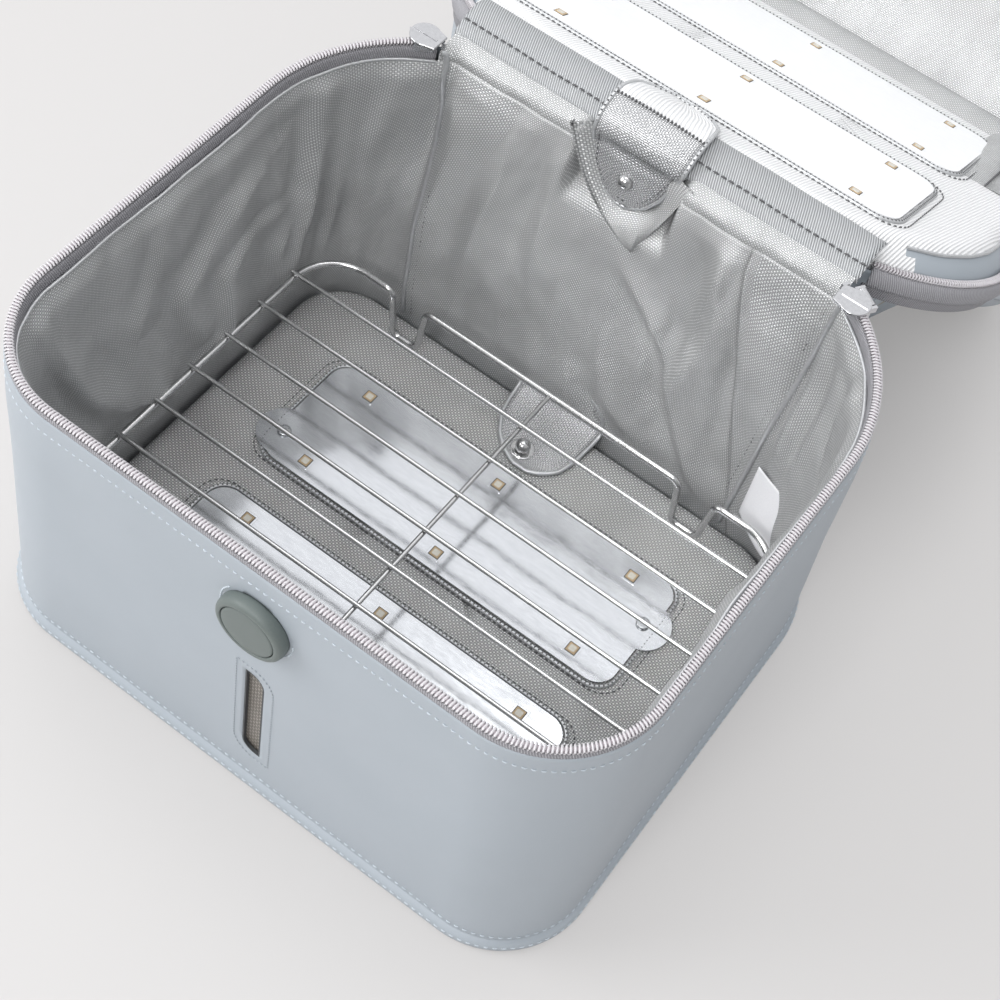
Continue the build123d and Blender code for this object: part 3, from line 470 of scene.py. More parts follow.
# Each look: its builder with its dark and light colour and sizes, and the constants on the shader
LOOKS = {}
for look_name, build, constants in (
    ("leather", leather_look((158, 166, 173), (168, 175, 182)), {}),
    ("board", plain_look((150, 142, 128), (176, 168, 154), (0.8, 0.95), 1.5, 0.4, 0.2), {}),
    # Dark edge colour: the real dark paint on the window's cut edge, and painted shade in the gaps round the
    # light packages.
    ("dark_edge", plain_look((54, 56, 58), (78, 80, 82), (0.5, 0.7), 2.0, 0.3), {}),
    # Weave looks: the light colour sits on the thread crowns, a painted highlight, and the dark colour
    # between the threads, painted shade.
    ("mesh", weave_look(1.3, (70, 64, 56), (186, 180, 172), (0.4, 0.55), 0.9, 0.3), {"Metallic": 0.2}),
    ("lining", weave_look(0.75, (120, 122, 123), (255, 255, 255), (0.24, 0.4), 0.9, 0.2, crinkle=7.0),
     {"Metallic": 0.45}),
    ("pad", weave_look(1.0, (86, 88, 89), (255, 255, 255), (0.24, 0.4), 1.0, 0.3, crinkle=4.0),
     {"Metallic": 0.55}),
    # Ribbed looks: the light colour on the rib crests is a painted highlight, the dark colour in the troughs
    # painted shade.
    ("lid_lining", ribbed_look(1.35, (220, 221, 222), (250, 250, 250), (0.35, 0.55), 0, 0.12),
     {"Metallic": 0.1}),
    ("piping", plain_look((176, 178, 180), (222, 223, 224), (0.3, 0.45), 1.6, 0.5, 0.3), {"Metallic": 0.7}),
    ("film", film_look((208, 210, 214), (228, 230, 233), (0.08, 0.18), 0.06), {"Metallic": 0.92}),
    ("lid_film", film_look((240, 241, 242), (250, 250, 251), (0.3, 0.42), 0.06), {"Metallic": 0.2}),
    ("circuit", plain_look((196, 198, 190), (214, 216, 208), (0.35, 0.5), 1.0), {}),
    ("led_body", plain_look((170, 146, 112), (202, 178, 142), (0.35, 0.5), 1.2), {}),
    ("led_window", plain_look((196, 192, 180), (226, 222, 210), (0.08, 0.15), 1.0, 0.02),
     {"Coat Weight": 0.6}),
    ("rivet", plain_look((160, 162, 165), (196, 198, 200), (0.2, 0.35), 1.5), {"Metallic": 1.0}),
    ("tag", plain_look((232, 232, 236), (246, 246, 248), (0.5, 0.65), 1.8, 0.3, 0.15), {}),
    ("flap", weave_look(0.75, (96, 98, 100), (252, 252, 253), (0.2, 0.36), 0.9, 0.2, crinkle=5.0),
     {"Metallic": 0.65}),
    ("stud", plain_look((196, 196, 196), (216, 216, 216), (0.05, 0.14), 0.8, 0.03), {"Metallic": 1.0}),
    ("tape", ribbed_look(0.9, (134, 133, 138), (174, 173, 177)), {}),
    ("teeth", plain_look((188, 185, 188), (208, 205, 208), (0.25, 0.4), 1.2, 0.1), {}),
    ("nickel", plain_look((188, 188, 190), (212, 212, 214), (0.08, 0.2), 0.7, 0.05), {"Metallic": 1.0}),
    ("band", ribbed_look(1.0, (140, 142, 144), (206, 208, 210), (0.35, 0.55)), {"Metallic": 0.3}),
    ("button", plain_look((94, 103, 101), (106, 114, 111), (0.42, 0.52), 1.6, 0.12), {}),
    ("spring", plain_look((150, 150, 152), (190, 190, 192), (0.2, 0.35), 2.0), {"Metallic": 1.0}),
    ("cell", plain_look((48, 84, 112), (62, 98, 126), (0.35, 0.5), 0.6), {}),
    ("holder", plain_look((30, 30, 32), (46, 46, 48), (0.5, 0.65), 1.4), {}),
    ("cable", plain_look((196, 194, 186), (212, 210, 202), (0.4, 0.55), 1.4), {}),
    ("wire", plain_look((186, 186, 186), (214, 214, 214), (0.12, 0.26), 0.9, 0.06, 0.05),
     {"Metallic": 1.0}),
    ("coil_core", plain_look((134, 126, 131), (156, 148, 153), (0.6, 0.8), 1.2, 0.2), {}),
    ("thread", plain_look((176, 186, 194), (206, 213, 219), (0.5, 0.7), 3.0, 0.3), {}),
    ("seam_thread", plain_look((136, 144, 150), (172, 178, 184), (0.5, 0.7), 3.0, 0.3), {}),
    ("dark_thread", plain_look((70, 70, 72), (112, 112, 114), (0.5, 0.7), 3.0, 0.3), {}),
):
    LOOKS[look_name] = material(look_name, build, constants)


# Bag shell
def slope_normal():
    return unit([0, -1, SLOPE])


def front_point(x, z, out=0.0):
    """A point on the sloping front wall."""
    return np.array([x, wall_plan(z).front, z]) + out * slope_normal()


def leaf(extra, fine=6):
    """Leaf outline of the slot window, in its own width and height."""
    w = SLOT_SIZE[0] / 2 + extra
    h = SLOT_SIZE[1] / 2 + extra
    r = min(7.0 + extra, 1.6 * w)
    points = [(-w, h)]
    points += [(w - r + r * cos(a), h - r + r * sin(a)) for a in np.linspace(pi / 2, 0, fine)]
    points += [(w, -h)]
    points += [(r - w + r * cos(a), r - h + r * sin(a)) for a in np.linspace(-pi / 2, -pi, fine)]
    return points


def prism(name, outline, y0, y1):
    """An upright cutter through the front wall."""
    count = len(outline)
    points = [(x, y, z) for y in (y0, y1) for x, z in outline]
    faces = [tuple(range(count)), tuple(range(2 * count - 1, count - 1, -1))]
    faces += [(i, i + count, (i + 1) % count + count, (i + 1) % count) for i in range(count)]
    return mesh_object(name, points, faces)


def face_out(piece):
    """Turns all faces of a closed mesh outward."""
    work = bmesh.new()
    work.from_mesh(piece.data)
    bmesh.ops.remove_doubles(work, verts=work.verts, dist=1e-6)
    bmesh.ops.recalc_face_normals(work, faces=work.faces)
    work.to_mesh(piece.data)
    work.free()


def cut(piece, cutters):
    face_out(piece)
    for cutter in cutters:
        face_out(cutter)
        step = piece.modifiers.new("cut", "BOOLEAN")
        step.operation = "DIFFERENCE"
        step.solver = "EXACT"
        step.object = cutter
    view = bpy.context.evaluated_depsgraph_get()
    mesh = bpy.data.meshes.new_from_object(piece.evaluated_get(view))
    piece.modifiers.clear()
    piece.data = mesh
    for cutter in cutters:
        bpy.data.objects.remove(cutter)
    return piece


def ripple(x, y, z, scale, seed=0.0):
    return noise.noise(Vector((x / scale + seed, y / scale, z / scale)))


def bag_wall():
    foot = [(0.0, 0.7), (0.3, 1.5), (1.0, 2.0), (2.6, 2.25), (4.2, 1.9), (5.3, 1.1), (5.9, 0.1), (6.3, -0.6),
            (6.9, -0.3)]
    rise = [(z, 0.0) for z in np.linspace(8.0, 150.0, 40)]
    lip = [(151.6, 0.0), (152.5, -0.2), (152.95, -0.6), (152.95, -1.0), (152.5, -1.35)]
    inner = [(z, -LEATHER) for z in (151.0, 120.0, 90.0, 60.0, 30.0, 8.0)]
    inner += [(z, -LINING_IN) for z in (7.0, 1.6)]
    rows = []
    for z, out in foot + rise + lip + inner:
        line = row(wall_plan(z), z, out, fine=2)
        if out == 0.0:
            soft = min((z - 8) / 25, (150 - z) / 18, 1)
            near = np.exp(-((line[:, 0] - 4) / 30) ** 2) * (line[:, 1] < -100)
            t = trace(wall_plan(z), 2)
            for k, p in enumerate(line):
                push = 0.7 * soft * (1 - near[k]) * ripple(*p, 55.0)
                p[:2] += push * t[k, 2:]
        rows.append(line[:-1])
    grid = np.array(rows)
    count = grid.shape[1]
    points = grid.reshape(-1, 3).tolist()
    faces = []
    for i in range(len(grid) - 1):
        for k in range(count):
            a = i * count + k
            b = i * count + (k + 1) % count
            faces.append((a, a + count, b + count, b))
    last = (len(grid) - 1) * count
    points += [(0, 0, 0.0), (0, 0, 1.6)]
    for k in range(count):
        n = (k + 1) % count
        faces.append((len(points) - 2, k, n))
        faces.append((len(points) - 1, last + n, last + k))
    shell = mesh_object("bag_wall", points, faces)
    slot = [(SLOT[0] + x, SLOT[1] + z) for x, z in leaf(0.0)]
    hole = [(BUTTON[0] + BUTTON_HOLE_R * cos(a), BUTTON[1] + BUTTON_HOLE_R * sin(a))
            for a in np.arange(0, 2 * pi, pi / 16)]
    cut(shell, [prism("slot_cutter", slot, -126, -112), prism("hole_cutter", hole, -126, -112)])
    shell.data.polygons.foreach_set("use_smooth", [True] * len(shell.data.polygons))
    dress(shell, "leather", "bag", "outer_wall", "base_shell")


def dress(piece, look, body, *nodes, slot=None):
    """Material, body and the CAD nodes that a piece stands for."""
    piece.data.materials.clear()
    piece.data.materials.append(LOOKS[look])
    if body:
        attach(piece, body)
    if nodes:
        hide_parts(*nodes)
    return piece


def declare(piece, held, *rests_on):
    """Reads the lengths of cloth along a sheet's columns and rows, and does nothing more with them."""
    co = np.empty(len(piece.data.vertices) * 3)
    piece.data.attributes["mm"].data.foreach_get("vector", co)


def across_hinge(piece):
    """Bakes a piece's placement into its points; it does not bend the piece from the bag to the lid."""
    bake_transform(piece)


def sew(name, line, normals, sizes, look, body, slot):
    """A row of stitches; sizes are its pitch, length, thickness and lift."""
    dress(stitches(name, line, normals, *sizes), look, body, slot=slot)


def thicken(piece, thick, offset=-1.0):
    step = piece.modifiers.new("thick", "SOLIDIFY")
    step.thickness = thick * MM
    step.offset = offset
    return piece


def wall_stitches():
    seams = [("rim_stitches", 145.0, 3.1), ("base_stitches", 9.2, 3.4), ("foot_stitches", 3.6, 3.4)]
    for name, z, pitch in seams:
        out = 0.05 if z > 6 else 2.05
        line = row(wall_plan(z), z, out, fine=2)
        normals = flat_normals(wall_plan(z))
        sew(name, line, normals, (pitch, pitch * 0.66, 0.28), "thread", "bag", "leather")
    outline = leaf(0.4)
    points = [front_point(SLOT[0] + x, SLOT[1] + z, -1.9) for x, z in outline]
    sheet = mesh_object("slot_mesh", points, [tuple(range(len(outline)))], np.array(outline))
    dress(sheet, "mesh", "bag", "window_mesh", slot="mesh")
    line = [front_point(SLOT[0] + x, SLOT[1] + z, 0.05) for x, z in leaf(4.0) + leaf(4.0)[:1]]
    sew("slot_stitches", line, slope_normal(), (1.9, 1.3, 0.3), "seam_thread", "bag", "leather")
    for name, first, last in (("left", 138, 200), ("right", -58, 4)):
        turn = np.radians(np.linspace(first, last, 20))
        arc = STITCH_R * np.column_stack([np.cos(turn), np.sin(turn)])
        line = [front_point(BUTTON[0] + x, BUTTON[1] + z, 0.05) for x, z in arc]
        sew("button_stitches_" + name, line, slope_normal(), (1.7, 1.3, 0.4), "thread", "bag", "leather")


# Button and light packages
def turned(name, profile, centre, axis, sides=72):
    """A round piece from (radius, height) steps along its axis."""
    axis = unit(axis)
    across = unit(np.cross(axis, (0.0, 0.0, 1.0)))
    other = np.cross(axis, across)
    a = np.linspace(0, 2 * pi, sides + 1)
    ring = np.cos(a)[:, None] * across + np.sin(a)[:, None] * other
    grid = np.array([np.asarray(centre, float) + h * axis + r * ring for r, h in profile])
    return grid_object(name, grid)


def button():
    """A low puck with a rounded edge, and the cap that sinks into it."""
    centre = front_point(BUTTON[0], BUTTON[1])
    axis = slope_normal()
    puck = [(11.9, -3.9), (13.0, -3.9), (13.0, -0.1), (13.9, 0.1), (14.15, 1.0), (14.15, 2.6), (14.0, 3.6),
            (13.7, 4.5), (13.2, 5.1), (12.6, 5.4), (11.9, 5.5), (11.5, 5.45), (11.3, 5.25), (11.25, 4.8),
            (11.25, 0.6), (5.9, 0.6)]
    cap = [(0.01, 2.2), (10.9, 2.2), (10.95, 4.9), (10.85, 5.2), (10.6, 5.4), (10.0, 5.5), (6.0, 5.55),
           (0.01, 5.55)]
    dress(turned("button_puck", puck, centre, axis), "button", "bag", "button_housing", slot="button")
    dress(turned("button_face", cap, centre, axis), "button", "button", "button_cap", slot="button")
    a = np.linspace(0, 8 * pi, 160)
    across = np.cross(axis, (0.0, 0.0, 1.0))
    rise = np.linspace(-2.3, 1.7, len(a))
    line = centre + COIL_R * (np.cos(a)[:, None] * across + np.sin(a)[:, None] * UP) + rise[:, None] * axis
    dress(tube("button_coil", line, 0.4, 6, up=axis), "spring", "bag", "button_spring", slot="spring")


def blocks(name, spots, place, half, low, high, r):
    """Small flat blocks with rounded corners, one at each spot."""
    points, faces = [], []
    for x, y in spots:
        ring = rounded(x - half, x + half, y - half, y + half, r, 4)[:-1]
        start, count = len(points), len(ring)
        for z, share in ((low, 1.0), (high - 0.08, 1.0), (high, 1 - 0.1 / half)):
            points += [place(x + (a - x) * share, y + (b - y) * share, z) for a, b in ring]
        for level in (0, 1):
            for k in range(count):
                a = start + level * count + k
                b = start + level * count + (k + 1) % count
                faces.append((a, b, b + count, a + count))
        faces.append(tuple(start + 2 * count + k for k in range(count)))
    piece = mesh_object(name, points, faces)
    piece.data.polygons.foreach_set("use_smooth", [False] * len(faces))
    return piece


def lights_on(name, body, xs, rows, place, film):
    """Light packages that look out of the panels: film edge, a dark block as painted shade in the gap,
    package and window.
    """
    spots = [(x, y) for x in xs for y in rows]
    for part, sizes, look, slot, nodes in (
            ("_rims", (3.45, 0.2, 0.66, 0.8), film, "film", ()),
            # The gap ring is a dark block: painted shade between the film edge and the package.
            ("_painted_gap_shade", (2.55, 0.2, 0.70, 0.3), "dark_edge", "dark_edge", ()),
            ("_packages", (2.15, 0.2, 0.95, 0.2), "led_body", "led_body", (name + "_leds",)),
            ("_glass", (1.45, 0.6, 1.05, 0.5), "led_window", "led_window", (name + "_led_windows",))):
        dress(blocks(name + part, spots, place, *sizes), look, body, *nodes, slot=slot)


def light_packages():
    lights_on("floor", "bag", (-66.0, 2.5, 71.0), (41.0, -2.5, -39.5, -82.0),
              lambda x, y, z: (x, y, PAD_TOP + 0.7 + z), "film")
    lights_on("lid", "lid", (-73.0, -4.0, 66.0), (38.0, 84.0, 121.5, 170.0),
              lambda x, u, b: lid_point(x, u, LID_FACE + 0.7 + b), "lid_film")


# Zip
def zip_line(plan, z, inset, fine=3):
    """The zip's path round the rim, from the left end of the hinge by the front to the right end."""
    line = row(plan, z, -inset, fine)
    left = plan.half - plan.r_back + (plan.r_back - inset) * sin(radians(ZIP_END["left"]))
    right = plan.half - plan.r_back + (plan.r_back - inset) * sin(radians(ZIP_END["right"]))
    rear = line[:, 1] > plan.back - plan.r_back
    drop = rear & (line[:, 0] > -left) & (line[:, 0] < right)
    return line[~drop]


def coil(name, path, pitch=1.35, wide=1.45, tall=1.25, thick=0.44):
    """A nylon coil: one thread wound along the edge of the tape."""
    p = np.asarray(path, float)
    d = np.concatenate([[0], np.cumsum(np.linalg.norm(np.diff(p, axis=0), axis=1))])
    turns = int(d[-1] / pitch)
    at = np.linspace(0, d[-1], turns * 9)
    mid = np.column_stack([np.interp(at, d, p[:, k]) for k in range(3)])
    way = unit(np.gradient(mid, axis=0))
    side = unit(np.cross(way, np.broadcast_to(UP, mid.shape)))
    a = 2 * pi * at / d[-1] * turns
    high = np.sin(a) * (1 - 0.5 * np.exp(-(np.cos(a) / 0.45) ** 2))
    line = mid + wide * np.cos(a)[:, None] * side + tall * high[:, None] * np.cross(side, way)
    return tube(name, line, thick, 5)


def zip_half(prefix, body, plan, steps, coil_z, turn):
    cross = []
    base = zip_line(plan, coil_z, COIL_IN)
    t = unit(np.gradient(base, axis=0))
    out = unit(np.cross(t, UP))
    if out[len(out) // 2, 1] > 0:
        out = -out
    for inset, z in steps:
        p = base + (COIL_IN - inset) * out
        p[:, 2] = z
        cross.append(p)
    flat = grid_object(prefix + "_tape_cloth", turn(np.array(cross)))
    thicken(flat, 0.5, 0.0)
    dress(flat, "tape", body, prefix + "_zip_tape", slot="tape")
    declare(flat, "stretched")
    wound = coil(prefix + "_zip_coil", base)
    core = tube(prefix + "_zip_core", base, 0.95, 6)
    for piece in (wound, core):
        turn_mesh(piece, turn)
    dress(wound, "teeth", body, prefix + "_zip_teeth", slot="teeth")
    dress(core, "coil_core", body, slot="tape")


def turn_mesh(piece, turn):
    co = np.empty(len(piece.data.vertices) * 3)
    piece.data.vertices.foreach_get("co", co)
    co = turn(co.reshape(-1, 3) / MM) * MM
    piece.data.vertices.foreach_set("co", co.ravel())
    piece.data.update()


def stay(points):
    return points


def zips():
    low = [(0.7, 152.4), (0.6, 153.5), (1.1, 154.4), (2.3, 154.8), (3.4, 154.3), (3.7, 153.0), (3.8, 151.0),
           (3.6, 149.0), (3.1, 146.5), (2.4, 141.6)]
    high = [(2.4, 174.0), (3.2, 168.0), (3.5, 164.0), (3.1, 162.4), (2.1, 161.8), (1.0, 162.0), (0.1, 162.6),
            (-0.6, 163.8), (-0.9, 165.8), (-0.7, 167.8), (-0.1, 169.0)]
    zip_half("body", "bag", RIM, low, COIL_MID, stay)
    zip_half("lid", "lid", RIM, high, LID_COIL_MID, open_lid)


# Lining of the bag
def lining_plan(z):
    knee = grow(wall_plan(KNEE_H), -LINING_IN)
    if z <= KNEE_H:
        return between(FLOOR, knee, max(z - LINING_LOW, 0) / (KNEE_H - LINING_LOW))
    return between(knee, grow(wall_plan(HEM_H), -HEM_IN), (z - KNEE_H) / (HEM_H - KNEE_H))


# Folds of the lining: distance round the bag from the middle of its back and height, then width and depth
GIRTH = 858.8
FOLDS = [
    ([(137, 149), (139, 119), (142, 91), (149, 70), (156, 38)], 5.0, 4.0),
    ([(137, 115), (145, 94), (156, 74), (162, 64), (158, 43)], 6.0, 2.6),
    ([(162, 125), (188, 112), (210, 93), (217, 83), (212, 62), (202, 40)], 8.0, 4.0),
    ([(150, 90), (178, 90), (193, 81), (195, 69), (195, 49), (204, 39), (217, 31)], 5.0, 3.0),
    ([(226, 136), (232, 113), (247, 87)], 7.0, 2.2),
    ([(301, 149), (289, 112), (271, 76), (245, 46), (217, 33)], 7.0, 3.0),
    ([(232, 78), (221, 41)], 4.0, 2.0),
    ([(297, 148), (278, 93), (263, 51)], 5.0, 2.2),
    ([(112, 146), (117, 96), (110, 40)], 6.0, 2.4),
    ([(124, 140), (127, 80), (133, 34)], 5.0, 2.0),
    ([(93, 138), (89, 119), (84, 80), (81, 48)], 5.0, 2.6),
    ([(70, 138), (62, 100), (58, 60)], 8.0, 3.0),
    ([(46, 140), (42, 129), (36, 104), (30, 70)], 6.0, 2.8),
    ([(-65, 149), (-55, 127), (-45, 93), (-42, 60)], 7.0, 3.4),
    ([(-5, 108), (-20, 96), (-33, 84), (-42, 60), (-53, 33), (-60, 14)], 5.0, 3.6),
    ([(-8, 59), (-16, 40), (-28, 30)], 7.0, 2.6),
    ([(-62, 121), (-50, 89), (-38, 61)], 5.0, 2.6),
    ([(-80, 128), (-72, 92), (-66, 48)], 5.0, 2.2),
    ([(-102, 136), (-100, 100), (-94, 62)], 4.0, 3.0),
    ([(-113, 136), (-111, 100), (-108, 62)], 4.0, 3.2),
    ([(-126, 149), (-127, 110), (-131, 87)], 4.0, 3.0),
    ([(-150, 140), (-160, 100), (-152, 60)], 8.0, 3.0),
    ([(-200, 140), (-214, 96), (-204, 50)], 9.0, 3.0),
    ([(-246, 130), (-258, 84), (-249, 40)], 8.0, 2.4),
    ([(352, 140), (365, 96), (356, 50)], 8.0, 2.4),
    ([(420, 140), (436, 90), (428, 44)], 9.0, 2.6),
    ([(492, 140), (478, 92), (488, 44)], 8.0, 2.4),
]


def rear_line(z):
    """Where the rear lining stands: one flat slope from the floor up to the hinge band."""
    return FLOOR.back + 19.5 * (z - LINING_LOW) / 145.0


def near_line(u, z, line):
    """Signed distance to a fold line and how far along it the nearest point lies, from 0 to 1."""
    best = np.full(u.shape, 1e9)
    along = np.zeros(u.shape)
    sign = np.ones(u.shape)
    p = np.asarray(smooth(line, 3), float)
    total = len(p) - 1
    for i in range(total):
        a, b = p[i], p[i + 1]
        d = b - a
        t = np.clip(((u - a[0]) * d[0] + (z - a[1]) * d[1]) / (d @ d), 0, 1)
        gap = np.hypot(u - a[0] - t * d[0], z - a[1] - t * d[1])
        side = np.sign((u - a[0]) * d[1] - (z - a[1]) * d[0])
        closer = gap < best
        best = np.where(closer, gap, best)
        along = np.where(closer, (i + t) / total, along)
        sign = np.where(closer, side, sign)
    return best * sign, along


def field(u, z, su, sz, seed):
    """Noise round the bag that meets itself where the lining's two ends join."""
    out = np.empty(u.shape)
    for index in np.ndindex(u.shape):
        near = noise.noise(Vector((u[index] / su, z[index] / sz, seed)))
        share = min(max((u[index] - GIRTH + 40) / 40, 0), 1)
        if share:
            near += share * (noise.noise(Vector(((u[index] - GIRTH) / su, z[index] / sz, seed))) - near)
        out[index] = near
    return out


def drape(u, z, low, high):
    """How far the lining hangs into the bag."""
    ease = np.clip((z - low) / 16, 0, 1) * np.clip((high - z) / 10, 0, 1)
    depth = 2.2 + 3.6 * field(u, z, 34, 70, 3.0) + 2.0 * field(u, z, 15, 44, 8.0)
    depth += 0.6 * field(u, z, 6, 15, 12.0)
    for line, wide, tall in FOLDS:
        turned = np.where(u > GIRTH / 2, u - GIRTH, u) if min(p[0] for p in line) < 0 else u
        gap, along = near_line(turned, z, line)
        taper = np.sin(pi * np.clip(along, 0.02, 0.98)) ** 0.5
        reach = np.where(gap > 0, 1.5 * wide, 0.5 * wide)
        crest = np.exp(-np.abs(gap / reach) ** 1.3) - 0.5 * np.exp(-((gap + 1.3 * wide) / (0.7 * wide)) ** 2)
        depth += tall * taper * crest
    turned = np.where(u > GIRTH / 2, u - GIRTH, u)
    depth *= 1 - 0.9 * np.exp(-((turned - 8) / 27) ** 4 - ((z - 138) / 24) ** 4)
    return np.maximum(depth * ease, 0.0)


def body_lining():
    heights = np.concatenate([np.linspace(LINING_LOW + 0.6, 20, 8), np.linspace(22, KNEE_H, 58),
                              np.linspace(141.5, HEM_H, 6)])
    fine = 2
    grid = np.array([row(grow(lining_plan(z), -0.6), z, 0.0, fine) for z in heights])
    normals = np.array([trace(lining_plan(z), fine)[:, 2:] for z in heights])
    for level, z in enumerate(heights):
        over = grid[level, :, 1] - rear_line(z)
        rear = over > 0
        grid[level, rear, 1] -= over[rear]
        turn = np.clip(over / 2.0, 0, 1)[:, None]
        normals[level] = unit(normals[level] * (1 - turn) + np.array([0.0, 1.0]) * turn)
    mid = grid[len(heights) // 2]
    u = np.concatenate([[0], np.cumsum(np.linalg.norm(np.diff(mid[:, :2], axis=0), axis=1))])
    uu, zz = np.meshgrid(u * GIRTH / u[-1], heights)
    depth = drape(uu, zz, 12.0, HEM_H + 3)
    depth[:, -1] = depth[:, 0]
    grid[:, :, :2] -= depth[:, :, None] * normals
    side = np.clip((24.5 - np.abs(grid[:, :, 0] - FLAP_X)) / 3.5, 0, 1)
    pocket = side * np.clip((grid[:, :, 2] - 121) / 9, 0, 1) * (grid[:, :, 1] > 60)
    back = 111.5 + 0.1 * (grid[:, :, 2] - 125)
    grid[:, :, 1] += pocket * np.maximum(back - grid[:, :, 1], 0)
    floor = [row(grow(FLOOR, -0.6 - inward), LINING_LOW + 0.6, 0.0, fine) for inward in (24, 6)]
    grid = np.concatenate([np.array(floor), grid])
    corner = int(np.argmin(np.abs(grid[10, :, 0] - 86) + np.abs(grid[10, :, 1] - 86)))
    around = np.concatenate([grid[:, corner:-1], grid[:, :corner + 1]], axis=1)
    cloth = grid_object("body_lining_cloth", around)
    thicken(cloth, 0.45, -1.0)
    dress(cloth, "lining", "bag", "body_lining", slot="lining")
    declare(cloth, "hung", "floor_pad_cushion")
    return grid[2:], normals, heights


def lining_gusset():
    """The fold of cloth that hangs from the hinge band behind the upper flap and ends in a point."""
    left = [(-34.0, 155.0), (-28.0, 144.4), (-21.4, 134.7), (-13.8, 127.0), (-5.2, 120.9), (1.6, 117.2),
            (6.4, 115.4)]
    ridge = [(-2.0, 155.0), (1.0, 146.0), (3.6, 139.5), (5.2, 133.5), (6.6, 127.0), (7.0, 120.0),
             (6.8, 116.0)]
    right = [(22.0, 155.0), (19.0, 150.0), (17.0, 144.0), (14.5, 136.5), (11.5, 128.5), (9.0, 121.0),
             (7.4, 115.4)]
    out = [-7.0, -7.0, -7.0, -6.0, 0.5, 3.2, 1.4]
    lines = [[(*point, 0) for point in line] for line in (left, ridge, right)]
    lines.append([(lift, 0, 0) for lift in out])
    rows = []
    for a, c, b, d in zip(*(smooth(line, 4) for line in lines)):
        points = [(a[0] + 0.6, a[1] + 0.3, -0.6), (a[0], a[1], 1.6)]
        high = min(max((c[1] - 126) / 6, 0), 1)
        for t in (0.1, 0.22, 0.35, 0.6, 0.8, 0.95):
            share = t * (1 - high) + min(t / 0.3, 1) * high
            points.append((a[0] + (c[0] - a[0]) * t, a[1] + (c[1] - a[1]) * t, 1.7 + (d[0] - 1.7) * share))
        points.append((c[0], c[1], d[0] + 0.2))
        for t in (0.1, 0.4, 0.7, 1.0):
            points.append((c[0] + (b[0] - c[0]) * t, c[1] + (b[1] - c[1]) * t, d[0] * (1 - t) - 0.4 * t))
        rows.append([(x, rear_line(z) - lift, z) for x, z, lift in points])
    gusset = grid_object("lining_gusset", np.array(rows))
    dress(gusset, "lining", "bag", slot="lining")


def lining_seams(grid, normals, heights):
    """Hem cord, hem stitches and the two piped rear seams, all laid on the draped lining."""
    top = grid[-1].copy()
    keep = (np.abs(top[:, 0]) > 93) | (top[:, 1] < 60)
    first = np.argmax(keep)
    last = len(keep) - np.argmax(keep[::-1])
    hem = top[first:last] + np.column_stack([-0.6 * normals[-1, first:last], np.zeros(last - first)])
    dress(tube("lining_hem", hem, 0.75, 6), "piping", "bag", slot="lining")
    level = int(np.argmin(np.abs(heights - 144)))
    around = slice(first, last)
    inward = -np.column_stack([normals[level, around], np.zeros(last - first)])
    line = grid[level, around] + 0.1 * inward
    sew("hem_stitches", line, inward, (2.8, 1.9, 0.24), "dark_thread", "bag", "lining")
    for side, name in ((-1, "left"), (1, "right")):
        path, edge = [], []
        face = (-0.45 * side, -0.9, 0.1)
        for level in range(4, len(heights), 3):
            x = side * (85.0 + 5.0 * (heights[level] - 20) / 127)
            rear = grid[level][grid[level, :, 1] > 40]
            rear = rear[np.argsort(rear[:, 0])]
            for line, at, lift in ((path, x, 0.6), (edge, x - 4.2 * side, 0.2)):
                y = np.interp(at, rear[:, 0], rear[:, 1])
                line.append(np.array([at, y, heights[level]]) + lift * unit(face))
        tail = path[-1] + np.array([side * 1.2, 0.6, 4.5])
        path += [tail, tail + np.array([side * 1.6, -1.5, 1.2])]
        cord = tube("lining_piping_" + name, smooth(path, 4), 1.2, 9, up=(0, 1, 0))
        nodes = ["lining_piping"] if side > 0 else []
        dress(cord, "piping", "bag", *nodes, slot="piping")
        sew("piping_stitches_" + name, edge, face, (2.8, 1.9, 0.26), "dark_thread", "bag", "piping")


# Padded floor
def floor_pad():
    edge = grow(FLOOR, -3.0)
    sides = [(PAD_LOW, -1.5), (PAD_LOW + 0.6, -0.4), (8.0, 0.1), (10.5, 0.2), (12.4, -0.1), (13.3, -0.7),
             (13.85, -1.9)]
    tops = [4.0, 8.0, 14.0, 22.0, 34.0, 50.0, 68.0, 86.0, 97.0]
    rows = [row(edge, z, out, 2) for z, out in sides]
    for inward in tops:
        rows.append(row(inner_plan(edge, inward), PAD_TOP, 0.0, 2))
    grid = closed_middle(rows, edge)
    for i in range(4, len(grid)):
        for k, p in enumerate(grid[i]):
            grid[i, k, 2] += 0.25 * ripple(*p, 18.0) - 0.15
    points = grid.reshape(-1, 3)
    mm = np.column_stack([points[:, 0], points[:, 1] + points[:, 2]])
    faces = grid_faces(*grid.shape[:2])
    pad = mesh_object("floor_pad_cushion", points, faces, mm)
    dress(pad, "pad", "bag", "floor_pad", slot="lining")
    pad.data.materials.append(LOOKS["leather"])
    for face in pad.data.polygons:
        low = max(pad.data.vertices[v].co.z for v in face.vertices) < 12.5 * MM
        face.material_index = 1 if low else 0


def rounded(x0, x1, y0, y1, r, fine=8):
    points = []
    corners = [(x1 - r, y1 - r, 0), (x0 + r, y1 - r, 90), (x0 + r, y0 + r, 180), (x1 - r, y0 + r, 270)]
    for cx, cy, start in corners:
        for t in np.linspace(0, 90, fine):
            a = radians(start + t)
            points.append((cx + r * cos(a), cy + r * sin(a)))
    return points + points[:1]


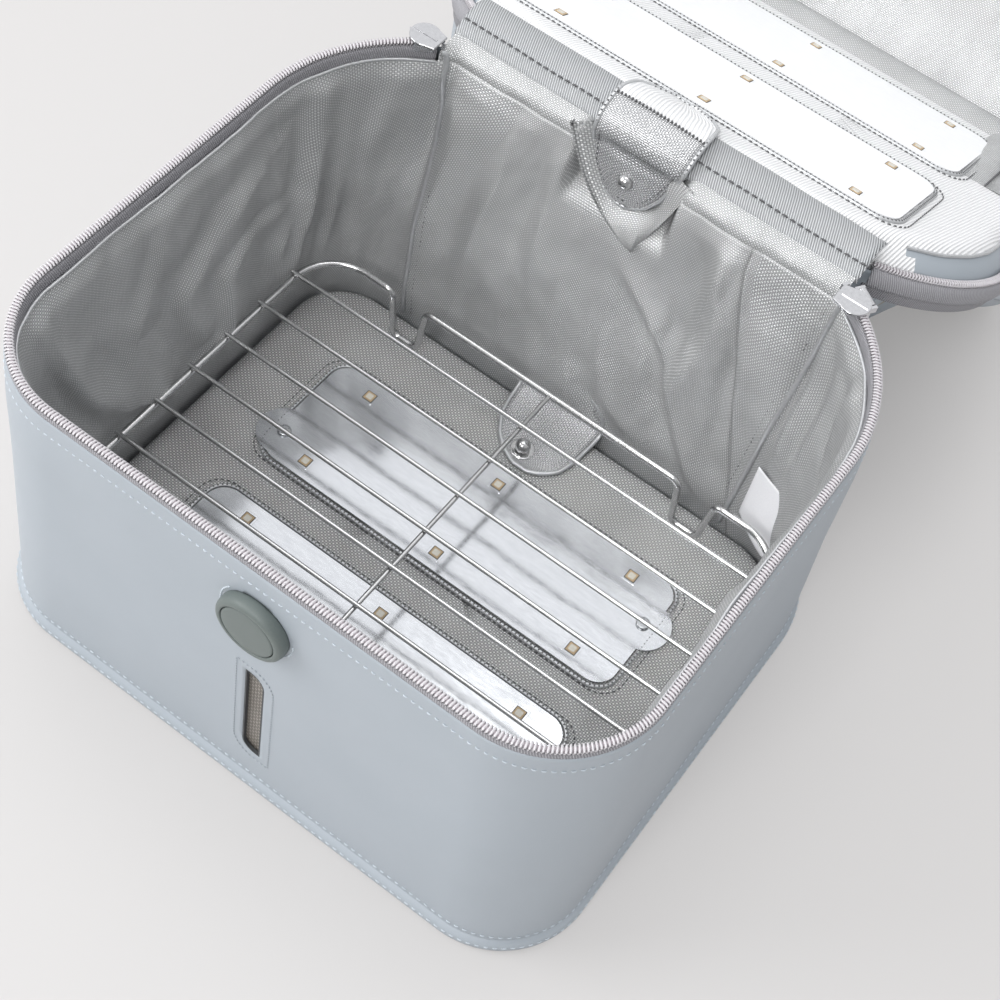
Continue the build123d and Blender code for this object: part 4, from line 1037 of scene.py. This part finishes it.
def panel_seams(name, body, outline, place, normal):
    """A sewn border round a light panel: dark thread wound over a cord, and a finer row outside it."""
    line = np.array([place(x, y, 0.3) for x, y in outline])
    centre = line.mean(axis=0)
    dress(tube(name + "_cord", line, 0.85, 8, up=normal), "piping", body, slot="lining")
    sew(name + "_edge", line, normal, (1.9, 1.2, 0.42, 0.75), "dark_thread", body, "lining")
    outside = line + 3.4 * unit(line - centre)
    sew(name + "_stitches", outside, normal, (2.6, 1.6, 0.3, 0.1), "dark_thread", body, "lining")


def floor_seams():
    for name, y0, y1 in (("rear", -10.0, 48.5), ("front", -89.5, -32.0)):
        outline = rounded(-87.5, 92.5, y0 - 1.5, y1 + 1.5, 10)
        panel_seams("floor_" + name, "bag", outline, lambda x, y, z: (x, y, PAD_TOP + z), UP)


# Ribbed hinge band and rolled edge of the rear lining
BAND = [(113.6, 154.6), (114.8, 156.6), (118.6, 158.8), (123.4, 160.6), (128.6, 161.2), (134.2, 159.4),
        (137.0, 157.0)]


def hinge_band():
    xs = np.linspace(-94, 90, 70)
    section = smooth(BAND, 5)
    grid = np.array([[(x, y, z) for x in xs] for y, z in section])
    for i in range(grid.shape[0]):
        for k in range(grid.shape[1]):
            grid[i, k, 2] += 0.7 * ripple(*grid[i, k], 24.0, 5.0)
    band = grid_object("hinge_band", grid)
    thicken(band, 0.8)
    band.data.materials.append(LOOKS["band"])
    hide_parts("hinge_band_body", "hinge_band_lid")
    declare(band, "stretched")
    across_hinge(band)
    k = len(section) // 2 - 4
    line = grid[k] + [0, -0.2, 0.5]
    seam = stitches("hinge_stitches", line, (0, -0.4, 0.9), 3.4, 2.4, 0.4)
    seam.data.materials.append(LOOKS["dark_thread"])
    across_hinge(seam)


def rear_roll(lining):
    """The top of the rear lining, rolled back over a cord up to the hinge band."""
    top = lining[-1]
    rear = top[(top[:, 1] > 90) & (np.abs(top[:, 0]) < 96)]
    rear = rear[np.argsort(rear[:, 0])]
    xs = np.linspace(-93, 89, 110)
    edge = np.interp(xs, rear[:, 0], rear[:, 1])
    grid = []
    for k, x in enumerate(xs):
        dip = 0.9 * noise.noise(Vector((x / 26, 0, 2))) + 0.4 * noise.noise(Vector((x / 9, 0, 4)))
        y = edge[k]
        section = [(y + 0.6, 144.0), (y - 0.1, 146.8), (y - 0.3, 149.4), (y + 0.2 + dip, 151.8),
                   (y + 1.8 + dip, 153.9), (y + 4.2 + 0.4 * dip, 155.4), (116.4, 156.4), (118.6, 156.0)]
        grid.append([(x, a, b) for a, b in smooth([(p[0], p[1], 0) for p in section], 3)[:, :2]])
    grid = np.array(grid).transpose(1, 0, 2)
    roll = grid_object("rear_roll", grid)
    dress(roll, "lining", "bag", slot="lining")
    declare(roll, "folded", "body_lining_cloth")


# Flaps
def flap_grid(rows):
    """A flap as a grid across its width: each row is its centre and half its width, and runs across along x.
    """
    grid = []
    for centre, half in rows:
        grid.append([np.asarray(centre, float) + (half * s, 0, 0) for s in np.linspace(-1, 1, 15)])
    return np.array(grid)


def edge_of(grid):
    left = grid[:, 0]
    right = grid[::-1, -1]
    return np.concatenate([left, grid[-1, 1:-1], right, grid[0, 1:-1][::-1], left[:1]])


def upper_flap():
    path = [(-5.6, 108.6, 129.0), (-6.5, 109.4, 133.0), (-7.2, 110.6, 140.0), (-6.6, 112.2, 148.0),
            (-5.8, 111.8, 154.0), (-5.6, 114.5, 159.6), (-5.6, 120.5, 163.4), (-5.6, 128.0, 164.2)]
    path += [lid_point(-5.6, 14.0, 9.2), lid_point(-5.8, 20.0, 8.6), lid_point(-6.0, 25.5, 8.3)]
    halves = [3.0, 10.5, 16.0, 18.6, 19.8, 20.3, 20.4, 20.2, 18.8, 14.5, 4.0]
    centres = smooth(path, 4)
    wide = np.interp(np.linspace(0, 1, len(centres)), np.linspace(0, 1, len(halves)), halves)
    grid = flap_grid(list(zip(centres, wide)))
    across = np.linspace(-1, 1, 15)
    way = unit(np.gradient(centres, axis=0))
    out = np.cross(way, [1, 0, 0])
    puff = (1 - across ** 2) * 0.9
    for i in range(len(centres)):
        n = out[i] if out[i, 2] > 0 or out[i, 1] < 0 else -out[i]
        grid[i] += puff[:, None] * n
    cloth = grid_object("upper_flap", grid)
    fold = int(np.argmax(centres[:, 2])) - 1
    for look in ("flap", "lid_lining"):
        cloth.data.materials.append(LOOKS[look])
    for k, polygon in enumerate(cloth.data.polygons):
        polygon.material_index = 1 if k // (grid.shape[1] - 1) >= fold else 0
    thicken(cloth, 1.0, 0.0)
    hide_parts("upper_flap_wall", "upper_flap_lid")
    edge = edge_of(grid)
    border = tube("upper_flap_edge", edge, 0.95, 8, up=(0, -0.3, 1))
    border.data.materials.append(LOOKS["piping"])
    wound = stitches("upper_flap_threads", edge, (0, -0.5, 0.86), 2.2, 1.3, 0.42, 0.8)
    seam = stitches("upper_flap_fold", grid[fold] + [0, -0.3, 0.5], (0, -0.3, 0.95), 1.6, 1.1, 0.6, 0.3)
    front = grid[:fold - 1]
    inside = edge_of(front * 0.86 + front.mean(axis=(0, 1)) * 0.14) + [0, -0.6, 0.4]
    inner = stitches("upper_flap_stitches", inside, (0, -0.9, 0.4), 2.2, 1.4, 0.3, 0.2)
    for piece in (wound, seam, inner):
        piece.data.materials.append(LOOKS["dark_thread"])
    declare(cloth, "laid", "body_lining_cloth", "hinge_band")
    for piece in (cloth, border, wound, seam, inner):
        across_hinge(piece)


def lower_flap():
    path = [(4.0, 54.5, 15.0), (3.6, 57.5, 15.1), (3.0, 63.0, 15.4), (1.5, 72.0, 15.8), (1.0, 80.0, 16.2),
            (1.0, 86.5, 17.4), (1.0, 89.6, 21.0), (1.0, 91.0, 27.0), (1.2, 92.2, 32.0), (1.4, 92.8, 35.0)]
    halves = [3.5, 9.5, 15.5, 19.5, 20.6, 21.2, 21.4, 19.0, 12.0, 3.0]
    centres = smooth(path, 3)
    wide = np.interp(np.linspace(0, 1, len(centres)), np.linspace(0, 1, len(halves)), halves)
    grid = flap_grid(list(zip(centres, wide)))
    cloth = grid_object("lower_flap", grid)
    thicken(cloth, 1.0, 0.0)
    dress(cloth, "flap", "bag", "lower_cable_flap", slot="flap")
    declare(cloth, "laid", "floor_pad_cushion")
    border = tube("lower_flap_edge", edge_of(grid), 1.0, 8, up=(0, -0.5, 1))
    dress(border, "piping", "bag", slot="flap")


# Lid
def sunk(points, keep=0.0):
    """The soft lid has fallen in at its right rear corner, so little of it hangs below the rim there."""
    p = np.array(points, float)
    reach = np.clip(p[..., 0] - 51.0, 0, 75.5)
    edge = 77.5 - np.sqrt(76.0 ** 2 - reach ** 2)
    ahead = np.maximum(AXIS_Y - p[..., 1] - edge, 0) / 2.85
    room = 7.0 - keep + ahead + 2.0 * np.maximum(96.0 - p[..., 0], 0)
    depth = p[..., 2] - LID_EDGE
    low = np.minimum(depth, room) - 2.5 * np.log1p(np.exp(-np.abs(depth - room) / 2.5))
    share = np.clip(depth / 3, 0, 1)
    p[..., 2] = LID_EDGE + depth + (low - depth) * share
    return p


def lid_board_sheet():
    """The stiff board inside the lid, bent with the leather."""
    far = lid_plan(LID_TOP - LID_SHOULDER)
    rows = [row(lid_plan(z), z, -2.6) for z in np.linspace(LID_EDGE + 14, LID_TOP - LID_SHOULDER - 2, 8)]
    for inward, drop in ((3.6, 4.2), (7.5, 3.0), (14.0, 2.6), (28.0, 2.6), (48.0, 2.6), (70.0, 2.6)):
        rows.append(row(inner_plan(far, inward), LID_TOP - drop))
    grid = open_lid(sunk(closed_middle(rows, far), 3.0))
    board = grid_object("lid_board_sheet", grid)
    dress(thicken(board, 1.2, 0.0), "board", "lid", "lid_board", slot="board")


def lid_cover():
    far = lid_plan(LID_TOP - LID_SHOULDER)
    lip = ((26.0, LEATHER), (12.0, LEATHER), (2.0, LEATHER), (0.4, 1.2), (0.0, 0.8), (0.1, 0.4), (0.6, 0.1),
           (1.6, 0.0))
    steps = [(LID_EDGE + z, inset) for z, inset in lip]
    steps += [(z, 0.0) for z in np.linspace(LID_EDGE + 4, LID_TOP - LID_SHOULDER - 1.2, 18)]
    rows = []
    for z, inset in steps:
        line = row(lid_plan(z), z, -inset, 2)
        soft = 0
        if inset == 0.0:
            soft = min(max((z - LID_EDGE - 4) / 12, 0), max((LID_TOP - LID_SHOULDER - z) / 12, 0), 1)
        t = trace(lid_plan(z), 2)
        for k, p in enumerate(line):
            line[k, :2] -= soft * 0.8 * (0.5 + ripple(*p, 48.0, 9.0)) * t[k, 2:]
        rows.append(line)
    base = LID_TOP - LID_SHOULDER
    for lift, inset in ((-0.6, -0.1), (-0.3, -0.7), (0.2, -0.9), (0.7, -0.6), (1.0, 0.15)):
        rows.append(row(far, base + lift, -inset, 2))
    for a in np.linspace(12, 84, 8):
        lift = 1.0 + (LID_SHOULDER - 1.2) * sin(radians(a))
        inset = (LID_SHOULDER + 2) * (1 - cos(radians(a))) + 0.2
        rows.append(row(far, base + lift, -inset, 2))
    for inward in (10.0, 16.0, 28.0, 44.0, 60.0, 72.0):
        line = row(inner_plan(far, inward), LID_TOP - 0.25, 0.0, 2)
        for p in line:
            p[2] -= 0.5 * (0.5 + ripple(*p, 60.0, 4.0))
        rows.append(line)
    grid = closed_middle(rows, far)
    grid = open_lid(np.concatenate([sunk(grid[:3], 1.6), sunk(grid[3:])]))
    count = grid.shape[1]
    shell = mesh_object("lid_shell", grid.reshape(-1, 3), grid_faces(grid.shape[0], count))
    dress(shell, "leather", "lid", "lid_cover", "lid_piping", slot="leather")
    for z, name in ((LID_EDGE + 8, "lid_rim_stitches"), (base - 3.2, "lid_top_stitches")):
        line = open_lid(sunk(row(lid_plan(z), z, 0.0, 2)))
        normals = flat_normals(lid_plan(z))
        flat = open_lid(normals + [0, AXIS_Y, AXIS_Z]) - [0, AXIS_Y, AXIS_Z]
        sew(name, line, flat, (3.1, 2.0, 0.28), "thread", "lid", "leather")


def lid_lining():
    """The lid's padded lining, with the raised seam between its two light panels."""
    face = AXIS_Z - LID_FACE
    steps = [(LID_EDGE + 22.0, 2.2), (LID_EDGE + 10.0, 2.8), (LID_EDGE + 1.0, 3.6), (LID_EDGE - 3.0, 5.4),
             (face + 5.6, 8.6), (face + 3.4, 10.8), (face + 1.8, 12.0), (face + 0.7, 13.4),
             (face + 0.1, 15.6)]
    rows = [row(lid_plan(z), z, -inset, 2) for z, inset in steps]
    for inward in (18.0, 22.0, 26.0, 34.0, 46.0, 60.0, 78.0, 96.0):
        rows.append(row(inner_plan(RIM, inward), face, 0.0, 2))
    grid = sunk(closed_middle(rows, RIM), 3.0)
    for i in range(2, 9):
        for k, p in enumerate(grid[i]):
            grid[i, k, 2] += 0.5 * ripple(*p, 14.0, 2.0)
    points = grid.reshape(-1, 3)
    mm = np.column_stack([points[:, 0], points[:, 1] + points[:, 2]])
    faces = grid_faces(*grid.shape[:2], flip=True)
    cushion = mesh_object("lid_lining_cushion", open_lid(points), faces, mm)
    dress(cushion, "lid_lining", "lid", "lid_lining", "lid_foam", slot="lining")
    cushion.data.materials.append(LOOKS["leather"])
    count = grid.shape[1] - 1
    for k, polygon in enumerate(cushion.data.polygons):
        level, column = divmod(k, count)
        polygon.material_index = 1 if level < 5 and grid[level, column, 1] < AXIS_Y - 26 else 0
    hem = open_lid(grid[5] + [0, 0, -0.3])[grid[5][:, 1] < AXIS_Y - 26]
    dress(tube("lid_lining_hem", hem, 0.8, 7), "piping", "lid", slot="lining")
    normal = lid_point(0, 0, 1) - lid_point(0, 0, 0)
    for name, u0, u1 in (("lid_rear", 29.0, 93.0), ("lid_front", 112.5, 179.0)):
        outline = rounded(-94.5, 87.5, u0, u1, 11)
        panel_seams(name, "lid", outline, lambda x, u, b: lid_point(x, u, LID_FACE + b), normal)


def lid_far_wall():
    """The lining of the lid's front and side walls, which stands up beyond the light panels."""
    shape = grow(RIM, -32.0)
    base = row(shape, 0.0, 0.0, 2)
    normals = trace(shape, 2)[:, 2:]
    ahead = AXIS_Y - base[:, 1]
    rise = np.clip((ahead - 118) / 80, 0, 1)
    rise = rise * rise * (3 - 2 * rise)
    section = [(-17, -0.4), (-13, 2.0), (-8, 4.2), (-3.6, 4.4), (-1.2, 3.0), (0, 1.9), (1.2, 4.0), (3.2, 12),
               (6.5, 24), (10.0, 36), (13.0, 45), (14.6, 48), (16.4, 47)]
    section = smooth([(*point, 0) for point in section], 3)[:, :2]
    keep = ahead > 124
    grid = []
    for out, up in section:
        line = base[keep] + np.column_stack([out * normals[keep], np.zeros(keep.sum())])
        for k, p in enumerate(line):
            wave = 0.9 * ripple(*p, 34.0, 7.0) * min(max(up - 6, 0) / 12, 1)
            line[k, :2] += wave * normals[keep][k]
        line[:, 2] = AXIS_Z - LID_FACE - (0.2 + up) * rise[keep]
        grid.append(line)
    grid = np.array(grid)
    wall = grid_object("lid_far_wall", open_lid(grid))
    dress(wall, "lining", "lid", slot="lining")
    declare(wall, "hung", "lid_lining_cushion")
    seam = open_lid(grid[15] + [0, 0, -0.4])
    up = open_lid([0, AXIS_Y, AXIS_Z - 1]) - open_lid([0, AXIS_Y, AXIS_Z])
    sew("lid_far_seam", seam, up, (2.2, 1.5, 0.5, 0.4), "dark_thread", "lid", "lining")


# Care tag
def care_tag():
    """A blank woven label that hangs from the right rear seam and curls at its free edge."""
    corner = np.array([90.5, 90.5, 61.0])
    grid = []
    for v in np.linspace(0, 1, 24):
        line = []
        for t in np.linspace(0, 1, 18):
            x = 28.0 * t + 2.0 * v * t
            y = -1.0 - 8.5 * t * (0.35 + 0.65 * v) - 3.0 * sin(pi * t) * v + 6.0 * max(t - 0.7, 0) * (1 - v)
            z = -34.0 * v - 13.0 * t + 3.0 * t * t * (1 - v) + 1.5 * t * v
            line.append(corner + (x, y, z))
        grid.append(line)
    tag = grid_object("care_tag_cloth", np.array(grid))
    thicken(tag, 0.35, 0.0)
    dress(tag, "tag", "bag", "care_tag", slot="tag")
    declare(tag, "hung", "body_lining_cloth")


# CAD nodes that keep their shape
CAD_LOOKS = {
    "wire": ["rack_frame", "rack_cross_wires", "rack_spine"],
    "nickel": ["zip_slider_left", "zip_slider_right", "zip_puller_left", "zip_puller_right", "zip_stops"],
    "stud": ["snap_studs"],
    "rivet": ["floor_rivets"],
    "film": ["floor_panel_rear", "floor_panel_front"],
    "lid_film": ["lid_panel_rear", "lid_panel_front"],
    "circuit": ["floor_led_boards", "lid_led_boards", "switch_board", "control_board"],
    "dark_edge": ["window_frame"],
    "board": ["wall_board", "base_board"],
    "cell": ["battery_cells"],
    "holder": ["battery_holder"],
    "cable": ["body_cable"],
}


def finish_cad_nodes():
    for look, names in CAD_LOOKS.items():
        for name in names:
            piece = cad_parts[name]
            piece.data.materials.clear()
            piece.data.materials.append(LOOKS[look])


# Stage, lights and camera
def add_stage():
    """A pale floor. The camera sees part of it as plain colour, so its shadow stays soft."""
    half = 4000.0
    corners = [(-half, -half, 0), (half, -half, 0), (half, half, 0), (-half, half, 0)]
    floor = mesh_object("studio_floor", corners, [(0, 1, 2, 3)])
    look = bpy.data.materials.new("studio_floor")
    look.use_nodes = True
    tree = look.node_tree
    shader = tree.nodes["Principled BSDF"]
    shader.inputs["Base Color"].default_value = linear((214, 212, 211))
    shader.inputs["Roughness"].default_value = 0.5
    shader.inputs["Specular IOR Level"].default_value = 0.2
    plain = node(tree, "ShaderNodeEmission", {"Color": linear((204, 202, 201))})
    seen = node(tree, "ShaderNodeLightPath").outputs["Is Camera Ray"]
    share = calc(tree, "MULTIPLY", seen, 0.45)
    mixed = node(tree, "ShaderNodeMixShader", {0: share, 1: shader.outputs[0], 2: plain.outputs[0]})
    tree.links.new(mixed.outputs[0], tree.nodes["Material Output"].inputs["Surface"])
    floor.data.materials.append(look)


def add_lamp(name, at, look_at, size, power):
    data = bpy.data.lights.new(name, "AREA")
    data.shape = "RECTANGLE"
    data.size, data.size_y = size
    data.energy = power
    lamp = bpy.data.objects.new(name, data)
    lamp.location = at
    lamp.rotation_euler = (Vector(look_at) - Vector(at)).to_track_quat("-Z", "Y").to_euler()
    bpy.context.scene.collection.objects.link(lamp)


# Sky brightness on its dark and its bright side
SKY_DARK = 0.38
SKY_BRIGHT = 1.12


def add_lights():
    """A wide soft light from the upper left. The sky is bright behind the bag and darker on the right."""
    add_lamp("key", (-1.25, -0.75, 1.05), (0, 0.02, 0.1), (0.9, 0.8), 14)
    add_lamp("front", (0.1, -1.2, 1.35), (0, 0.08, 0.1), (0.6, 0.6), 13)
    add_lamp("top", (-0.2, 0.3, 1.9), (0, 0, 0.1), (0.8, 0.8), 6)
    world = bpy.data.worlds.new("studio")
    world.use_nodes = True
    tree = world.node_tree
    way = node(tree, "ShaderNodeTexCoord").outputs["Generated"]
    bright = node(tree, "ShaderNodeVectorMath", {0: way, 1: (-0.35, 0.45, 0.82)}, operation="DOT_PRODUCT")
    reach = {"Value": bright.outputs["Value"], "From Min": -0.1, "From Max": 0.95,
             "To Min": SKY_DARK, "To Max": SKY_BRIGHT}
    level = node(tree, "ShaderNodeMapRange", reach, interpolation_type="SMOOTHSTEP").outputs[0]
    background = tree.nodes["Background"]
    background.inputs["Color"].default_value = (0.97, 0.98, 1.0, 1)
    tree.links.new(level, background.inputs["Strength"])
    bpy.context.scene.world = world


def add_camera():
    azimuth, elevation, roll = (radians(a) for a in CAMERA_TURN)
    back = Vector((sin(azimuth) * cos(elevation), -cos(azimuth) * cos(elevation), sin(elevation)))
    right = Vector((cos(azimuth), sin(azimuth), 0))
    up = back.cross(right)
    across = right * cos(roll) + up * sin(roll)
    upward = up * cos(roll) - right * sin(roll)
    data = bpy.data.cameras.new("photo_camera")
    data.sensor_width = SENSOR
    data.lens = CAMERA_LENS
    data.clip_end = 20
    camera = bpy.data.objects.new("photo_camera", data)
    turn = Matrix((across, upward, back)).transposed().to_4x4()
    camera.matrix_world = Matrix.Translation(Vector(CAMERA_AT) * MM) @ turn
    bpy.context.scene.collection.objects.link(camera)
    bpy.context.scene.camera = camera


def main():
    add_camera()
    bag_wall()
    wall_stitches()
    button()
    light_packages()
    zips()
    lining = body_lining()
    lining_gusset()
    lining_seams(*lining)
    floor_pad()
    floor_seams()
    rear_roll(lining[0])
    hinge_band()
    upper_flap()
    lower_flap()
    lid_cover()
    lid_board_sheet()
    lid_lining()
    lid_far_wall()
    care_tag()
    finish_cad_nodes()
    add_stage()
    add_lights()
    bpy.context.scene.view_settings.view_transform = "Standard"


main()
